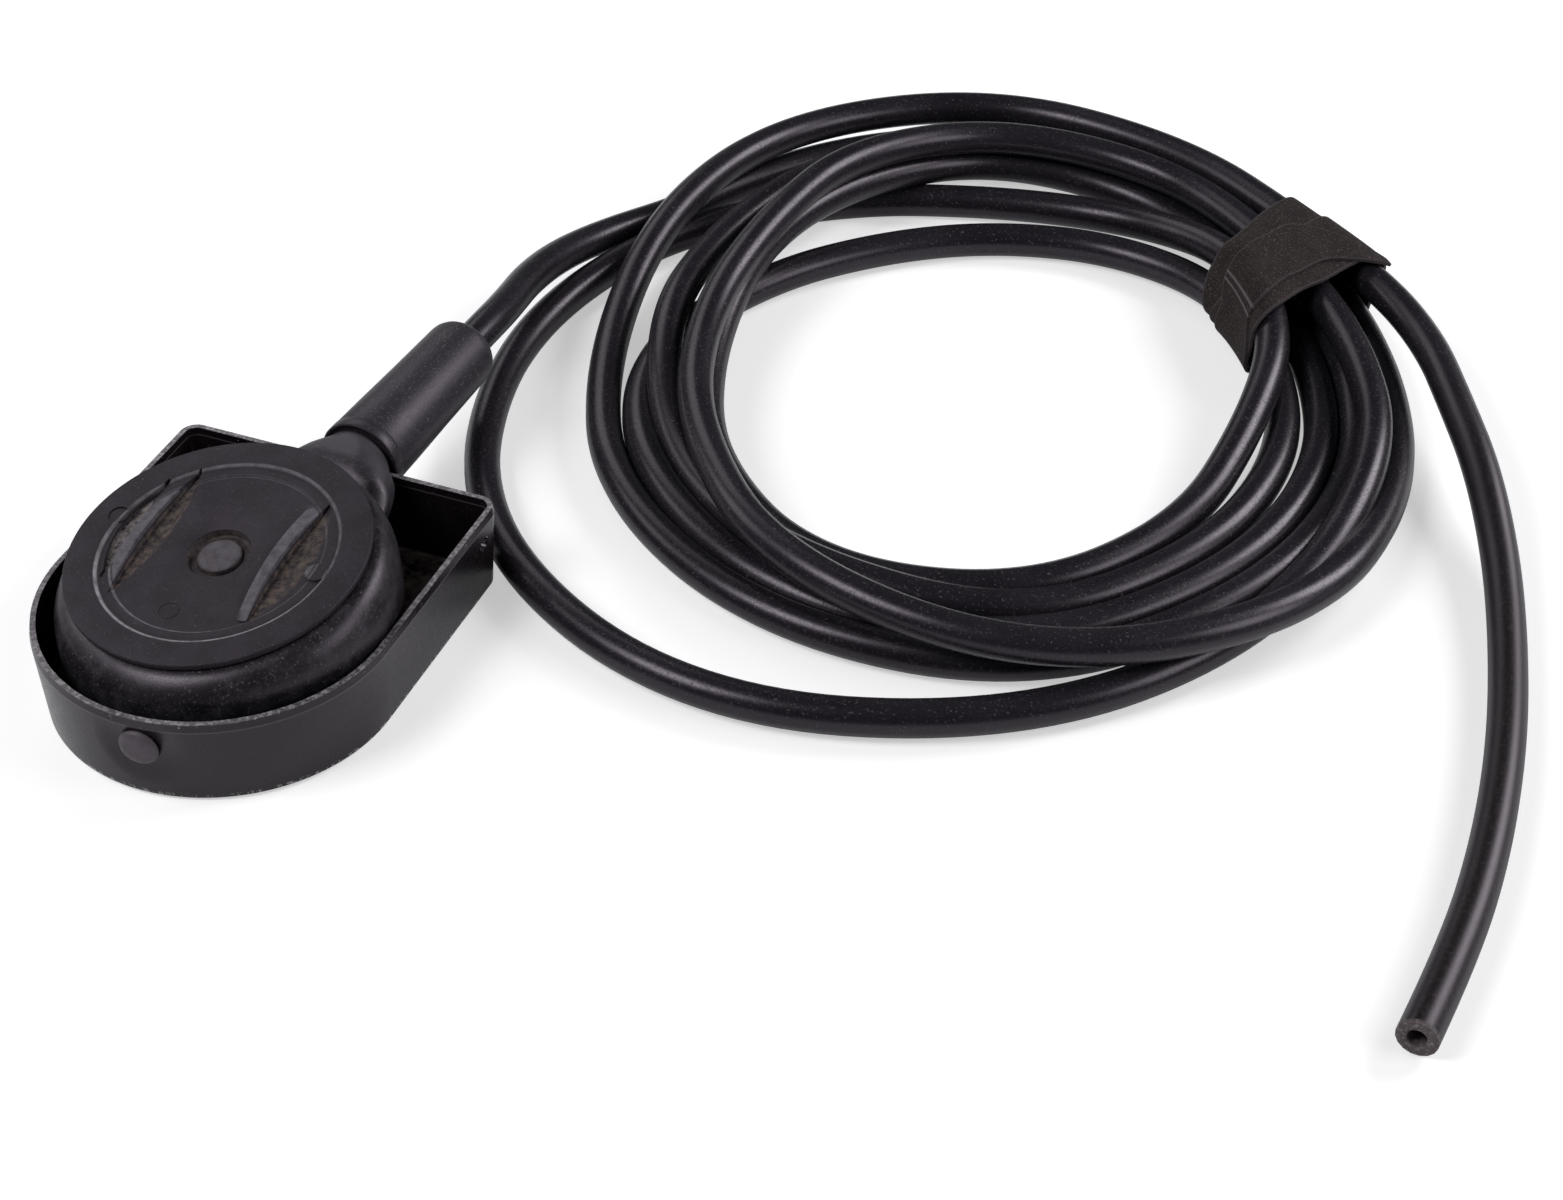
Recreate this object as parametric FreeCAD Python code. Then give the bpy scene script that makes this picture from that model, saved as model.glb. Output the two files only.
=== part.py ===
# A foot operated air release for a camera shutter, in millimetres.
# A hard foot plate rides on a hollow rubber bellows that stands in a sheet steel pan. The bellows'
# neck leaves through a notch in the back wall, and a sleeve joins it to a long rubber air hose, which
# lies coiled on the floor and is tied with a hook and loop strap. Its far end is bare and open.
# Origin on the floor, at the centre of the pan's round front. +Y runs to the hose, +Z is up.

import math
import os

import FreeCAD
import Part

V = FreeCAD.Vector

# Pan of folded sheet steel
pan_half_width = 36.0
pan_back = 49.7
pan_height = 20.0
pan_wall = 1.5
pan_corner = 4.0
pan_bend = 0.7
pan_inner_bend = 0.5
wall_lean = 3.0
rim_height = 1.7
rim_bevel = 0.4
side_hole_radius = 1.5
side_hole_height = 14.0
side_hole_from_back = 7.0
pad_thickness = 0.4
pad_inset = 0.6

# Rubber plug in the front wall
plug_head_radius = 4.1
plug_head_height = 1.5
plug_stem_radius = 2.8
plug_height = 13.5
plug_azimuth = 5.0
plug_inner_head = 1.2
plug_inner_lip = 0.7

# Foot plate, which stands a little askew on the bellows
plate_x = -1.3
plate_y = 3.8
plate_top = 29.8
plate_rise_back = 0.148
plate_rise_right = 0.062
plate_radius = 30.9
plate_thickness = 2.8
plate_edge_height = 1.3
plate_edge_round = 0.4
plate_core_radius = 27.0
recess_radius = 24.7
recess_depth = 0.7
pocket_depth = 1.2
pocket_radius = 23.0
pocket_slope = 1.6
left_pocket_chord = -15.8
right_pocket_chord = 14.3
dimple_radius = 6.5
dimple_depth = 1.1
boss_radius = 4.6
boss_height = 0.5
plate_travel = 8.0

# Bellows, a hollow rubber bulb. Its widest circle clears the pan's rim by bulb_gap, and bulge is a
# list of share of its height and share of its widest radius, up to the shoulder under the plate.
rubber_wall = 2.2
bellows_x = 0.3
bellows_y = 3.2
bulb_gap = 1.1
ceiling_wall = 1.6
bulge = [(0.0, 0.8), (0.08, 0.9), (0.25, 0.972), (0.5, 1.0), (0.74, 1.0), (0.87, 0.975), (0.96, 0.93), (1.0, 0.875)]
level_share = 0.12

# Neck, nipple and sleeve share one level axis
neck_x = 4.0
neck_height = 20.5
neck_yaw = 2.5
neck_radius = 6.3
neck_root = 24.0
collar_radius = 7.1
collar_start = 11.0
collar_length = 4.0
spigot_radius = 5.5
spigot_length = 20.0
sleeve_ring_radius = 8.8
sleeve_ring_length = 3.0
sleeve_near_radius = 8.6
sleeve_far_radius = 8.0
sleeve_length = 43.0
sleeve_round = 2.5
nipple_bore = 1.2
nipple_start = 6.0
nipple_length = 34.0
nipple_flange_radius = 3.6
nipple_flange = 2.0
barb_count = 3
barb_pitch = 3.0
barb_length = 1.8
barb_height = 0.25
barb_gap = 2.0

# Air hose
hose_radius = 4.0
hose_bore = 2.0

# Return spring and its two seats
spring_radius = 10.0
spring_wire = 1.4
spring_turns = 4
seat_radius = 12.5
seat_rim = 1.2
seat_floor = 1.0
seat_depth = 2.6
seat_shift_x = -0.6
seat_shift_y = 0.7
seat_headroom = 0.3

# Hook and loop strap
strap_thickness = 1.0
strap_width = 20.0
strap_along = 4.0
strap_tail = 12.0
strap_slack = 3.0

# Gaps between pieces
slide_gap = 0.3
fit_gap = 0.05

# Where the hose lies. The coil's turns go clockwise seen from above, starting at the strap. Each
# turn has its reach from the coil's middle and its height at four quarters.
coil_x = 113.0
coil_y = 160.0
strap_angle = 50.0
low = 4.3
high = 12.8
strap_low = 5.4
strap_climb = 5.8
strap_high = 13.9
coil_turns = [
    [(87, strap_low), (114, low), (129, low), (86, low)],
    [(77, strap_low), (101, low), (107, low), (77, low)],
    [(67, strap_low), (87, low), (91, low), (66, low)],
    [(57, strap_climb), (76, high), (80, high), (60, high)],
    [(66, strap_high), (91, high), (93, high), (76, high)],
    [(76, strap_high), (106, high), (103, high), (95, high)],
]
coil_end = (86, strap_high)

# Free stretches, as points chosen by eye. The lead starts inside the sleeve.
lead_points = [
    (5.6, 121.0, 18.2),
    (2.6, 139.0, 14.2),
    (3.0, 157.0, 10.4),
    (8.5, 175.0, 6.3),
    (18.5, 194.0, low),
    (31.0, 213.5, low),
    (48.0, 231.0, low),
    (68.0, 244.0, low),
    (92.0, 253.0, low),
    (119.0, 256.0, low),
]
tail_points = [
    (203.5, 190.0, strap_high),
    (214.0, 171.0, 12.7),
    (224.0, 151.0, 10.6),
    (232.5, 129.0, 6.2),
    (238.5, 102.0, low),
    (243.5, 73.0, low),
    (246.0, 43.0, low),
    (245.6, 14.0, low),
    (242.7, -10.5, low),
]
lead_inside = 16.0
lead_straight = 7.0
strap_run = 29.0
tail_run = 28.0

UP = V(0, 0, 1)
floor_top = pad_thickness + pan_wall
lean = math.tan(math.radians(wall_lean))
neck_axis = V(math.sin(math.radians(neck_yaw)), math.cos(math.radians(neck_yaw)), 0)
wall_face = pan_back + lean * neck_height
neck_origin = V(neck_x, wall_face + slide_gap, neck_height)
plate_centre = V(plate_x, plate_y, plate_top)
plate_normal = V(-plate_rise_right, -plate_rise_back, 1)
plate_normal.normalize()
plate_right = V(1, 0, plate_rise_right)
plate_right.normalize()
plate_forward = plate_normal.cross(plate_right)
bulb_radius = pan_half_width - pan_wall + lean * pan_height - bulb_gap
shoulder_drop = plate_edge_height + slide_gap
bulb_height = plate_centre.z - shoulder_drop - floor_top
floor_share = rubber_wall / bulb_height
ceiling_share = 1 - (plate_thickness + fit_gap + ceiling_wall - shoulder_drop) / bulb_height
coil_middle = V(coil_x, coil_y, 0)


def save(node, shape):
    """Write one node and print what it holds."""
    if not shape.isValid():
        raise ValueError(node + " is not valid")
    shape.exportStep("parts/" + node + ".step")
    print("%-18s solids %2d  faces %3d  volume %9.1f" % (node, len(shape.Solids), len(shape.Faces), shape.Volume))


def on_plate(right, forward, height):
    """A point in the plate's own frame, with its top centre as the origin."""
    return plate_centre + plate_right * right + plate_forward * forward + plate_normal * height


def on_neck(along):
    """A point on the neck's axis, measured from the pan's back wall."""
    return neck_origin + neck_axis * along


def rod(start, axis, radius, length):
    return Part.makeCylinder(radius, length, start, axis)


def ring(start, axis, outer, inner, length):
    return rod(start, axis, outer, length).cut(rod(start, axis, inner, length))


def revolved(points, base, axis):
    """Turn a closed outline of (radius, height) about an axis through base."""
    across = axis.cross(V(0, 0.6, 0.8) if abs(axis.z) < 0.9 else V(0, 1, 0))
    across.normalize()
    corners = [base + across * r + axis * h for r, h in points]
    face = Part.Face(Part.makePolygon(corners + corners[:1]))
    return face.revolve(base, axis, 360)


def rounded_edges(shape, radius, wanted):
    """Round the edges that a test picks."""
    edges = [edge for edge in shape.Edges if wanted(edge)]
    return shape.makeFillet(radius, edges)


# Pan

def pan_outline(half, back, corner, height):
    """The pan's plan: a half circle in front, straight sides and two rounded back corners."""
    turn = corner * (1 - math.sqrt(0.5))
    points = {
        "left": V(-half, 0, height),
        "front": V(0, -half, height),
        "right": V(half, 0, height),
        "right_side": V(half, back - corner, height),
        "right_turn": V(half - turn, back - turn, height),
        "right_back": V(half - corner, back, height),
        "left_back": V(-half + corner, back, height),
        "left_turn": V(-half + turn, back - turn, height),
        "left_side": V(-half, back - corner, height),
    }
    p = points
    return Part.Wire([
        Part.Arc(p["left"], p["front"], p["right"]).toShape(),
        Part.LineSegment(p["right"], p["right_side"]).toShape(),
        Part.Arc(p["right_side"], p["right_turn"], p["right_back"]).toShape(),
        Part.LineSegment(p["right_back"], p["left_back"]).toShape(),
        Part.Arc(p["left_back"], p["left_turn"], p["left_side"]).toShape(),
        Part.LineSegment(p["left_side"], p["left"]).toShape(),
    ])


def pan_section(height, inset):
    """The leaning wall's outline at a height, a distance inside its outer face."""
    grow = lean * height - inset
    return pan_outline(pan_half_width + grow, pan_back + grow, pan_corner - inset, height)


def at_height(height):
    return lambda edge: all(abs(v.Z - height) < 0.01 for v in edge.Vertexes)


def make_pan():
    rim = pan_height - rim_height
    outer = Part.makeLoft(
        [pan_section(pad_thickness, 0), pan_section(rim, 0), pan_section(pan_height, rim_bevel)], True, True)
    outer = rounded_edges(outer, pan_bend, at_height(pad_thickness))
    inner = Part.makeLoft([pan_section(floor_top, pan_wall), pan_section(pan_height + 1, pan_wall)], True, True)
    inner = rounded_edges(inner, pan_inner_bend, at_height(floor_top))
    pan = outer.cut(inner)
    notch = rod(on_neck(-5 * pan_wall), neck_axis, neck_radius + slide_gap, 8 * pan_wall)
    side_hole = rod(side_hole_start(), V(1, 0, 0), side_hole_radius, 4 * pan_wall)
    plug_hole = rod(on_plug(-3 * pan_wall), plug_axis(), plug_stem_radius + fit_gap, 6 * pan_wall)
    return pan.cut(notch).cut(side_hole).cut(plug_hole)


def side_hole_start():
    return V(pan_half_width - 2 * pan_wall, pan_back - side_hole_from_back, side_hole_height)


def plug_axis():
    """Square to the leaning front wall, outward."""
    azimuth = math.radians(plug_azimuth)
    tilt = math.radians(wall_lean)
    return V(math.sin(azimuth) * math.cos(tilt), -math.cos(azimuth) * math.cos(tilt), -math.sin(tilt))


def on_plug(out):
    """A point on the plug's axis, measured outward from the wall's outer face."""
    azimuth = math.radians(plug_azimuth)
    reach = pan_half_width + lean * plug_height
    return V(math.sin(azimuth) * reach, -math.cos(azimuth) * reach, plug_height) + plug_axis() * out


def make_plug():
    r = plug_head_radius
    h = plug_head_height
    back = fit_gap
    head = rod(on_plug(back), plug_axis(), r, h)
    head = rounded_edges(head, 0.6 * h, lambda edge: edge.Length > 6 and on_face(edge, on_plug(back + h), plug_axis()))
    stem = rod(on_plug(-pan_wall - plug_inner_head), plug_axis(), plug_stem_radius, pan_wall + plug_inner_head + h / 2)
    inner = rod(on_plug(-pan_wall - slide_gap - plug_inner_head), plug_axis(), plug_stem_radius + plug_inner_lip, plug_inner_head)
    return head.fuse([stem, inner]).removeSplitter()


def on_face(edge, point, axis):
    return all(abs((v.Point - point).dot(axis)) < 0.01 for v in edge.Vertexes)


def make_pad():
    half = pan_half_width - pan_bend - pad_inset
    wire = pan_outline(half, pan_back - pan_bend - pad_inset, pan_corner, 0)
    return Part.Face(wire).extrude(V(0, 0, pad_thickness))


# Foot plate

def make_plate():
    """A thin-edged disc with a thicker core, a shallow recess, two sloped pockets and a dimple."""
    t = plate_thickness
    outline = [(0, 0), (plate_radius, 0), (plate_radius, -plate_edge_height),
               (plate_core_radius, -plate_edge_height), (plate_core_radius, -t), (0, -t)]
    plate = revolved(outline, plate_centre, plate_normal)
    plate = rounded_edges(plate, plate_edge_round, lambda edge: on_rim(edge, plate_radius, 0))
    plate = plate.cut(plate_disc(recess_radius, 0, -recess_depth))
    for chord in (left_pocket_chord, right_pocket_chord):
        plate = plate.cut(make_pocket(chord))
    plate = plate.cut(plate_disc(dimple_radius, 0, -recess_depth - dimple_depth))
    floor = -recess_depth - dimple_depth
    boss = plate_disc(boss_radius, floor + boss_height, floor - 0.2)
    boss = rounded_edges(boss, 0.6 * boss_height, lambda edge: on_rim(edge, boss_radius, floor + boss_height))
    return plate.fuse(boss).removeSplitter()


def on_rim(edge, radius, height):
    """True for the circle of a radius at a height in the plate's frame."""
    offset = edge.Vertexes[0].Point - plate_centre
    up = offset.dot(plate_normal)
    out = (offset - plate_normal * up).Length
    closed = len(edge.Vertexes) == 1
    return closed and abs(up - height) < 0.01 and abs(out - radius) < 0.01


def plate_disc(radius, top, bottom):
    return rod(on_plate(0, 0, bottom), plate_normal, radius, top - bottom)


def make_pocket(chord):
    """A segment of the recess beyond a chord, whose chord side slopes down into it."""
    side = 1 if chord > 0 else -1
    top = -recess_depth
    bottom = top - pocket_depth
    disc = plate_disc(pocket_radius, 0, bottom)
    far = side * 2 * plate_radius
    half = plate_radius
    above = pocket_depth
    corners = [(chord - side * pocket_slope, top), (chord + side * pocket_slope, bottom), (far, bottom),
               (far, above), (chord - side * pocket_slope, above)]
    wire = Part.makePolygon([on_plate(x, -half, z) for x, z in corners + corners[:1]])
    return disc.common(Part.Face(wire).extrude(plate_forward * (2 * half)))


# Bellows

def tilted_circle(share, radius):
    """A circle of the bellows, whose plane turns from level to the plate's tilt."""
    return Part.Wire(Part.makeCircle(radius, bulb_middle(share), slope_at(share)))


def bulb_middle(share):
    """A point on the bulb's upright axis, from the pan's floor to the shoulder under the plate's edge."""
    bottom = V(bellows_x, bellows_y, floor_top)
    under = on_plate(0, 0, -shoulder_drop)
    rise = ((under.x - bellows_x) * plate_normal.x + (under.y - bellows_y) * plate_normal.y) / plate_normal.z
    top = V(bellows_x, bellows_y, under.z + rise)
    return bottom + (top - bottom) * share


def slope_at(share):
    """The bellows stays level near its base, then turns to the plate's tilt."""
    turned = max(0.0, share - level_share) / (1 - level_share)
    normal = UP * (1 - turned) + plate_normal * turned
    normal.normalize()
    return normal


def bulb(inset, first, last):
    """The bulb's outer or inner form, lofted through level to tilted circles."""
    shares = [first] + [share for share, radius in bulge if first < share < last] + [last]
    return Part.makeLoft([tilted_circle(share, radius_at(share) - inset) for share in shares], True, False)


def radius_at(share):
    for (a, ra), (b, rb) in zip(bulge, bulge[1:]):
        if share <= b:
            return bulb_radius * (ra + (rb - ra) * (share - a) / (b - a))
    return bulb_radius * bulge[-1][1]


def make_bellows():
    seat = plate_disc(plate_core_radius + slide_gap, plate_thickness, -plate_thickness - fit_gap)
    neck = rod(on_neck(-neck_root), neck_axis, neck_radius, neck_root)
    collar = rod(on_neck(-collar_start - collar_length), neck_axis, collar_radius, collar_length)
    collar = collar.makeFillet(0.5 * (collar_radius - neck_radius), long_edges(collar))
    spigot = rod(on_neck(-1), neck_axis, spigot_radius, spigot_length + 1)
    body = bulb(0, 0, 1).cut(seat).fuse([neck, collar, spigot])
    bore = rod(on_neck(-neck_root - 2), neck_axis, hose_bore, neck_root + spigot_length + 3)
    chamber = bulb(rubber_wall, floor_share, ceiling_share)
    return body.cut(chamber.fuse(bore))


def long_edges(shape):
    return [edge for edge in shape.Edges if len(edge.Vertexes) == 1]


def chamber_floor():
    """Height of the bellows' inner floor."""
    return bulb_middle(floor_share).z


# Spring and seats

def seat_centre():
    return V(bellows_x + seat_shift_x, bellows_y + seat_shift_y, 0)


def make_lower_seat():
    base = seat_centre() + UP * (chamber_floor() + fit_gap)
    cup = rod(base, UP, seat_radius, seat_depth)
    return cup.cut(rod(base + UP * seat_floor, UP, seat_radius - seat_rim, seat_depth))


def upper_seat_level():
    """Height of the upper seat's level underside, below the lowest side of the askew ceiling."""
    return chamber_ceiling(V(seat_centre().x, seat_centre().y - seat_radius, 0)) - seat_depth - seat_headroom


def chamber_ceiling(place):
    """Height of the bellows' inner ceiling over a place."""
    point = bulb_middle(ceiling_share)
    normal = slope_at(ceiling_share)
    return point.z - ((place.x - point.x) * normal.x + (place.y - point.y) * normal.y) / normal.z


def make_upper_seat():
    """A cup open downward, whose top slopes with the ceiling that it hangs under."""
    level = upper_seat_level()
    base = seat_centre() + UP * level
    cup = rod(base, UP, seat_radius, 4 * seat_depth)
    cup = cup.cut(rod(base - UP, UP, seat_radius - seat_rim, 1 + seat_depth - seat_floor))
    side = 2 * seat_radius
    corners = []
    for dx, dy in ((-side, -side), (side, -side), (side, side), (-side, side)):
        place = base + V(dx, dy, 0)
        corners.append(V(place.x, place.y, chamber_ceiling(place) - fit_gap))
    above = Part.Face(Part.makePolygon(corners + corners[:1])).extrude(UP * 40)
    return cup.cut(above)


# Tubes along arcs

def unit(vector):
    return vector * (1 / vector.Length)


def arc_between(start, heading, end):
    """The arc from start to end that leaves start along heading, with its radius and end heading."""
    chord = end - start
    along = chord.dot(heading)
    across = chord - heading * along
    if across.Length < 1e-6:
        return Part.LineSegment(start, end).toShape(), float("inf"), heading
    side = unit(across)
    turn = 2 * math.atan2(chord.dot(side), along)
    radius = chord.Length / (2 * math.sin(turn / 2))
    centre = start + side * radius
    middle = centre + side * (-radius * math.cos(turn / 2)) + heading * (radius * math.sin(turn / 2))
    leaving = heading * math.cos(turn) + side * math.sin(turn)
    return Part.Arc(start, middle, end).toShape(), radius, leaving


def biarc(start, heading, end, arrival):
    """Two arcs from start to end that keep both headings and meet without a kink."""
    chord = end - start
    both = heading + arrival
    spread = 2 * (1 - heading.dot(arrival))
    reach = (-chord.dot(both) + math.sqrt(chord.dot(both) ** 2 + spread * chord.dot(chord))) / spread
    joint = (start + heading * reach + end - arrival * reach) * 0.5
    first, first_radius, leaving = arc_between(start, heading, joint)
    second, second_radius, last = arc_between(joint, leaving, end)
    return [first, second], [first_radius, second_radius]


def easy_headings(points, first, last):
    """Headings that look from each point's neighbour to the next, with given ends."""
    return [first] + [unit(after - before) for before, after in zip(points, points[2:])] + [last]


def through(points, headings):
    """Biarcs through points."""
    edges = []
    radii = []
    for i in range(len(points) - 1):
        pair, sizes = biarc(points[i], headings[i], points[i + 1], headings[i + 1])
        edges += pair
        radii += sizes
    return edges, radii


def rounded_run(points):
    """Straight runs through points, with an arc at each as large as its two runs allow."""
    edges = []
    radii = []
    here = points[0]
    for before, corner, after in zip(points, points[1:], points[2:]):
        arriving = unit(corner - before)
        leaving = unit(after - corner)
        cut = 0.45 * min((corner - before).Length, (after - corner).Length)
        start = corner - arriving * cut
        edges.append(Part.LineSegment(here, start).toShape())
        edge, radius, heading = arc_between(start, arriving, corner + leaving * cut)
        edges.append(edge)
        radii.append(radius)
        here = corner + leaving * cut
    edges.append(Part.LineSegment(here, points[-1]).toShape())
    return edges, radii


def tube(name, edges, radii, radius):
    """Sweep a round section along the edges and compare its volume with section times length."""
    path = Part.Wire(edges)
    start = edges[0].valueAt(edges[0].FirstParameter)
    heading = edges[0].tangentAt(edges[0].FirstParameter)
    solid = path.makePipeShell([Part.Wire(Part.makeCircle(radius, start, heading))], True, False)
    area = math.pi * radius * radius
    print("%s: length %.1f, volume ratio %.4f, radii %s" % (
        name, path.Length, solid.Volume / (area * path.Length), [round(r) for r in radii]))
    return solid


def least_gap(edges, radius, skip):
    """Least gap of a wound tube to itself, on points a millimetre or so apart."""
    points = []
    for edge in edges:
        count = max(2, int(edge.Length / 1.5))
        points += edge.discretize(Number=count)[:-1]
    reach = int(skip / 1.5)
    nearest = float("inf")
    for i, point in enumerate(points):
        for other in points[i + reach::2]:
            nearest = min(nearest, (point - other).Length)
    return nearest - 2 * radius


# Spring

def make_spring():
    """A helix of half turn biarcs between the two seats' floors."""
    bottom = chamber_floor() + fit_gap + seat_floor + fit_gap + spring_wire / 2
    top = upper_seat_level() + seat_depth - seat_floor - fit_gap - spring_wire / 2
    steps = 2 * spring_turns
    climb = (top - bottom) / steps
    points = []
    headings = []
    for i in range(steps + 1):
        angle = math.pi * i
        out = V(math.cos(angle), math.sin(angle), 0)
        points.append(seat_centre() + out * spring_radius + UP * (bottom + climb * i))
        headings.append(unit(UP.cross(out) * (math.pi * spring_radius) + UP * climb))
    edges, radii = through(points, headings)
    print("spring: least gap %.2f" % least_gap(edges, spring_wire / 2, 3 * spring_radius))
    return tube("return_spring", edges, radii, spring_wire / 2)


# Sleeve, ring and nipple

def make_sleeve_ring():
    return ring(on_neck(0), neck_axis, sleeve_ring_radius, spigot_radius + fit_gap, sleeve_ring_length)


def make_sleeve():
    start = on_neck(sleeve_ring_length)
    body = Part.makeCone(sleeve_near_radius, sleeve_far_radius, sleeve_length, start, neck_axis)
    end = on_neck(sleeve_ring_length + sleeve_length)
    body = rounded_edges(body, sleeve_round, lambda edge: len(edge.Vertexes) == 1 and on_face(edge, end, neck_axis))
    body = body.cut(rod(on_neck(0), neck_axis, spigot_radius + fit_gap, spigot_length + fit_gap))
    return body.cut(rod(on_neck(0), neck_axis, hose_radius + fit_gap, sleeve_length + 2 * sleeve_ring_length))


def make_nipple():
    """A brass tube with a flange between neck and hose, and rings of barbs each way."""
    outer = hose_bore - fit_gap
    root = outer - barb_height
    flange_start = spigot_length + 2 * fit_gap
    body = rod(on_neck(nipple_start), neck_axis, root, nipple_length)
    pieces = [rod(on_neck(flange_start), neck_axis, nipple_flange_radius, nipple_flange)]
    for i in range(barb_count):
        out = barb_gap + barb_pitch * (i + 1)
        toward_neck = flange_start - out
        toward_hose = flange_start + nipple_flange + out - barb_length
        pieces.append(Part.makeCone(root, outer, barb_length, on_neck(toward_neck), neck_axis))
        pieces.append(Part.makeCone(outer, root, barb_length, on_neck(toward_hose), neck_axis))
    body = body.fuse(pieces)
    return body.cut(rod(on_neck(nipple_start - 1), neck_axis, nipple_bore, nipple_length + 2))


# Hose

def coil_point(reach, height, quarter):
    angle = math.radians(strap_angle - 90 * quarter)
    return V(coil_middle.x + reach * math.cos(angle), coil_middle.y + reach * math.sin(angle), height)


def coil_path():
    points = []
    for turn in coil_turns:
        for quarter, (reach, height) in enumerate(turn):
            points.append(coil_point(reach, height, quarter))
    points.append(coil_point(coil_end[0], coil_end[1], 0))
    return points


def along_strap():
    """Heading of the hose where it passes under the strap."""
    angle = math.radians(strap_angle - 90)
    return V(math.cos(angle), math.sin(angle), 0)


def make_coil():
    points = coil_path()
    edges, radii = through(points, easy_headings(points, along_strap(), along_strap()))
    print("coil: least gap %.2f" % least_gap(edges, hose_radius, 60))
    return tube("hose_coil", edges, radii, hose_radius)


def make_lead():
    """From inside the sleeve, over the coil's left side and round its back to the strap."""
    sleeve_end = sleeve_ring_length + sleeve_length
    start = on_neck(sleeve_end - lead_inside)
    free = on_neck(sleeve_end + lead_straight)
    end = coil_path()[0]
    route = [start, free] + [V(*p) for p in lead_points] + [end - along_strap() * strap_run, end]
    edges, radii = rounded_run(route)
    return tube("hose_lead", edges, radii, hose_radius).cut(end_bore(edges[0]))


def make_tail():
    """From the strap out over the coil and forward along the floor to the bare end."""
    start = coil_path()[-1]
    route = [start, start + along_strap() * tail_run] + [V(*p) for p in tail_points]
    edges, radii = rounded_run(route)
    return tube("hose_tail", edges, radii, hose_radius).cut(end_bore(edges[-1]))


def end_bore(run):
    """The hose's bore, along one straight run."""
    start = run.Vertexes[0].Point
    end = run.Vertexes[-1].Point
    return rod(start, unit(end - start), hose_bore, (end - start).Length)


# Strap

def strap_point(across, height, along=0.0):
    """A point at the strap: across the bundle, above the floor, along the hose."""
    out = V(math.cos(math.radians(strap_angle)), math.sin(math.radians(strap_angle)), 0)
    return coil_middle + out * across + UP * height + along_strap() * along


def hull_wire(centres, radius, along):
    """The outline of a band drawn tight round circles at the given centres, counter clockwise."""
    edges = []
    count = len(centres)
    for i in range(count):
        before = centres[i - 1]
        here = centres[i]
        after = centres[(i + 1) % count]
        first = math.atan2(here[1] - before[1], here[0] - before[0]) - math.pi / 2
        last = math.atan2(after[1] - here[1], after[0] - here[0]) - math.pi / 2
        while last < first:
            last += 2 * math.pi
        points = []
        for angle in (first, (first + last) / 2, last):
            points.append(strap_point(here[0] + radius * math.cos(angle), here[1] + radius * math.sin(angle), along))
        edges.append(Part.Arc(*points).toShape())
        start = strap_point(after[0] + radius * math.cos(last), after[1] + radius * math.sin(last), along)
        edges.append(Part.LineSegment(points[2], start).toShape())
    return Part.Wire(edges)


def bundle_corners():
    """Centres of the strands at the bundle's corners, bottom inner first."""
    inner = coil_turns[3][0][0] - strap_slack
    outer = coil_turns[0][0][0]
    return [(inner, strap_low), (outer, strap_low), (outer, strap_high), (coil_turns[4][0][0] - strap_slack, strap_high)]


def make_strap():
    start = strap_along - strap_width / 2
    clear = hose_radius + slide_gap
    outer = Part.Face(hull_wire(bundle_corners(), clear + strap_thickness, start))
    inner = Part.Face(hull_wire(bundle_corners(), clear, start))
    return outer.cut(inner).extrude(along_strap() * strap_width)


def make_strap_end():
    """The strap's hook end, laid flat over its top and cut to a point past the bundle."""
    corners = bundle_corners()
    bottom = strap_high + hose_radius + slide_gap + strap_thickness
    inner = corners[3][0]
    outer = corners[1][0]
    half = strap_width / 2
    outline = [(inner, -half), (outer, -half), (outer + strap_tail, 0), (outer, half), (inner, half)]
    wire = Part.makePolygon([strap_point(x, bottom, strap_along + y) for x, y in outline + outline[:1]])
    return Part.Face(wire).extrude(UP * strap_thickness)


os.makedirs("parts", exist_ok=True)
save("base_pad", make_pad())
save("pan", make_pan())
save("front_plug", make_plug())
save("foot_plate", make_plate())
save("bellows", make_bellows())
save("lower_spring_seat", make_lower_seat())
save("upper_spring_seat", make_upper_seat())
save("return_spring", make_spring())
save("sleeve_ring", make_sleeve_ring())
save("sleeve", make_sleeve())
save("hose_nipple", make_nipple())
save("hose_lead", make_lead())
save("hose_coil", make_coil())
save("hose_tail", make_tail())
save("strap", make_strap())
save("strap_end", make_strap_end())
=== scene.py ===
import bpy
import math
from mathutils import Matrix, Vector


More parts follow.
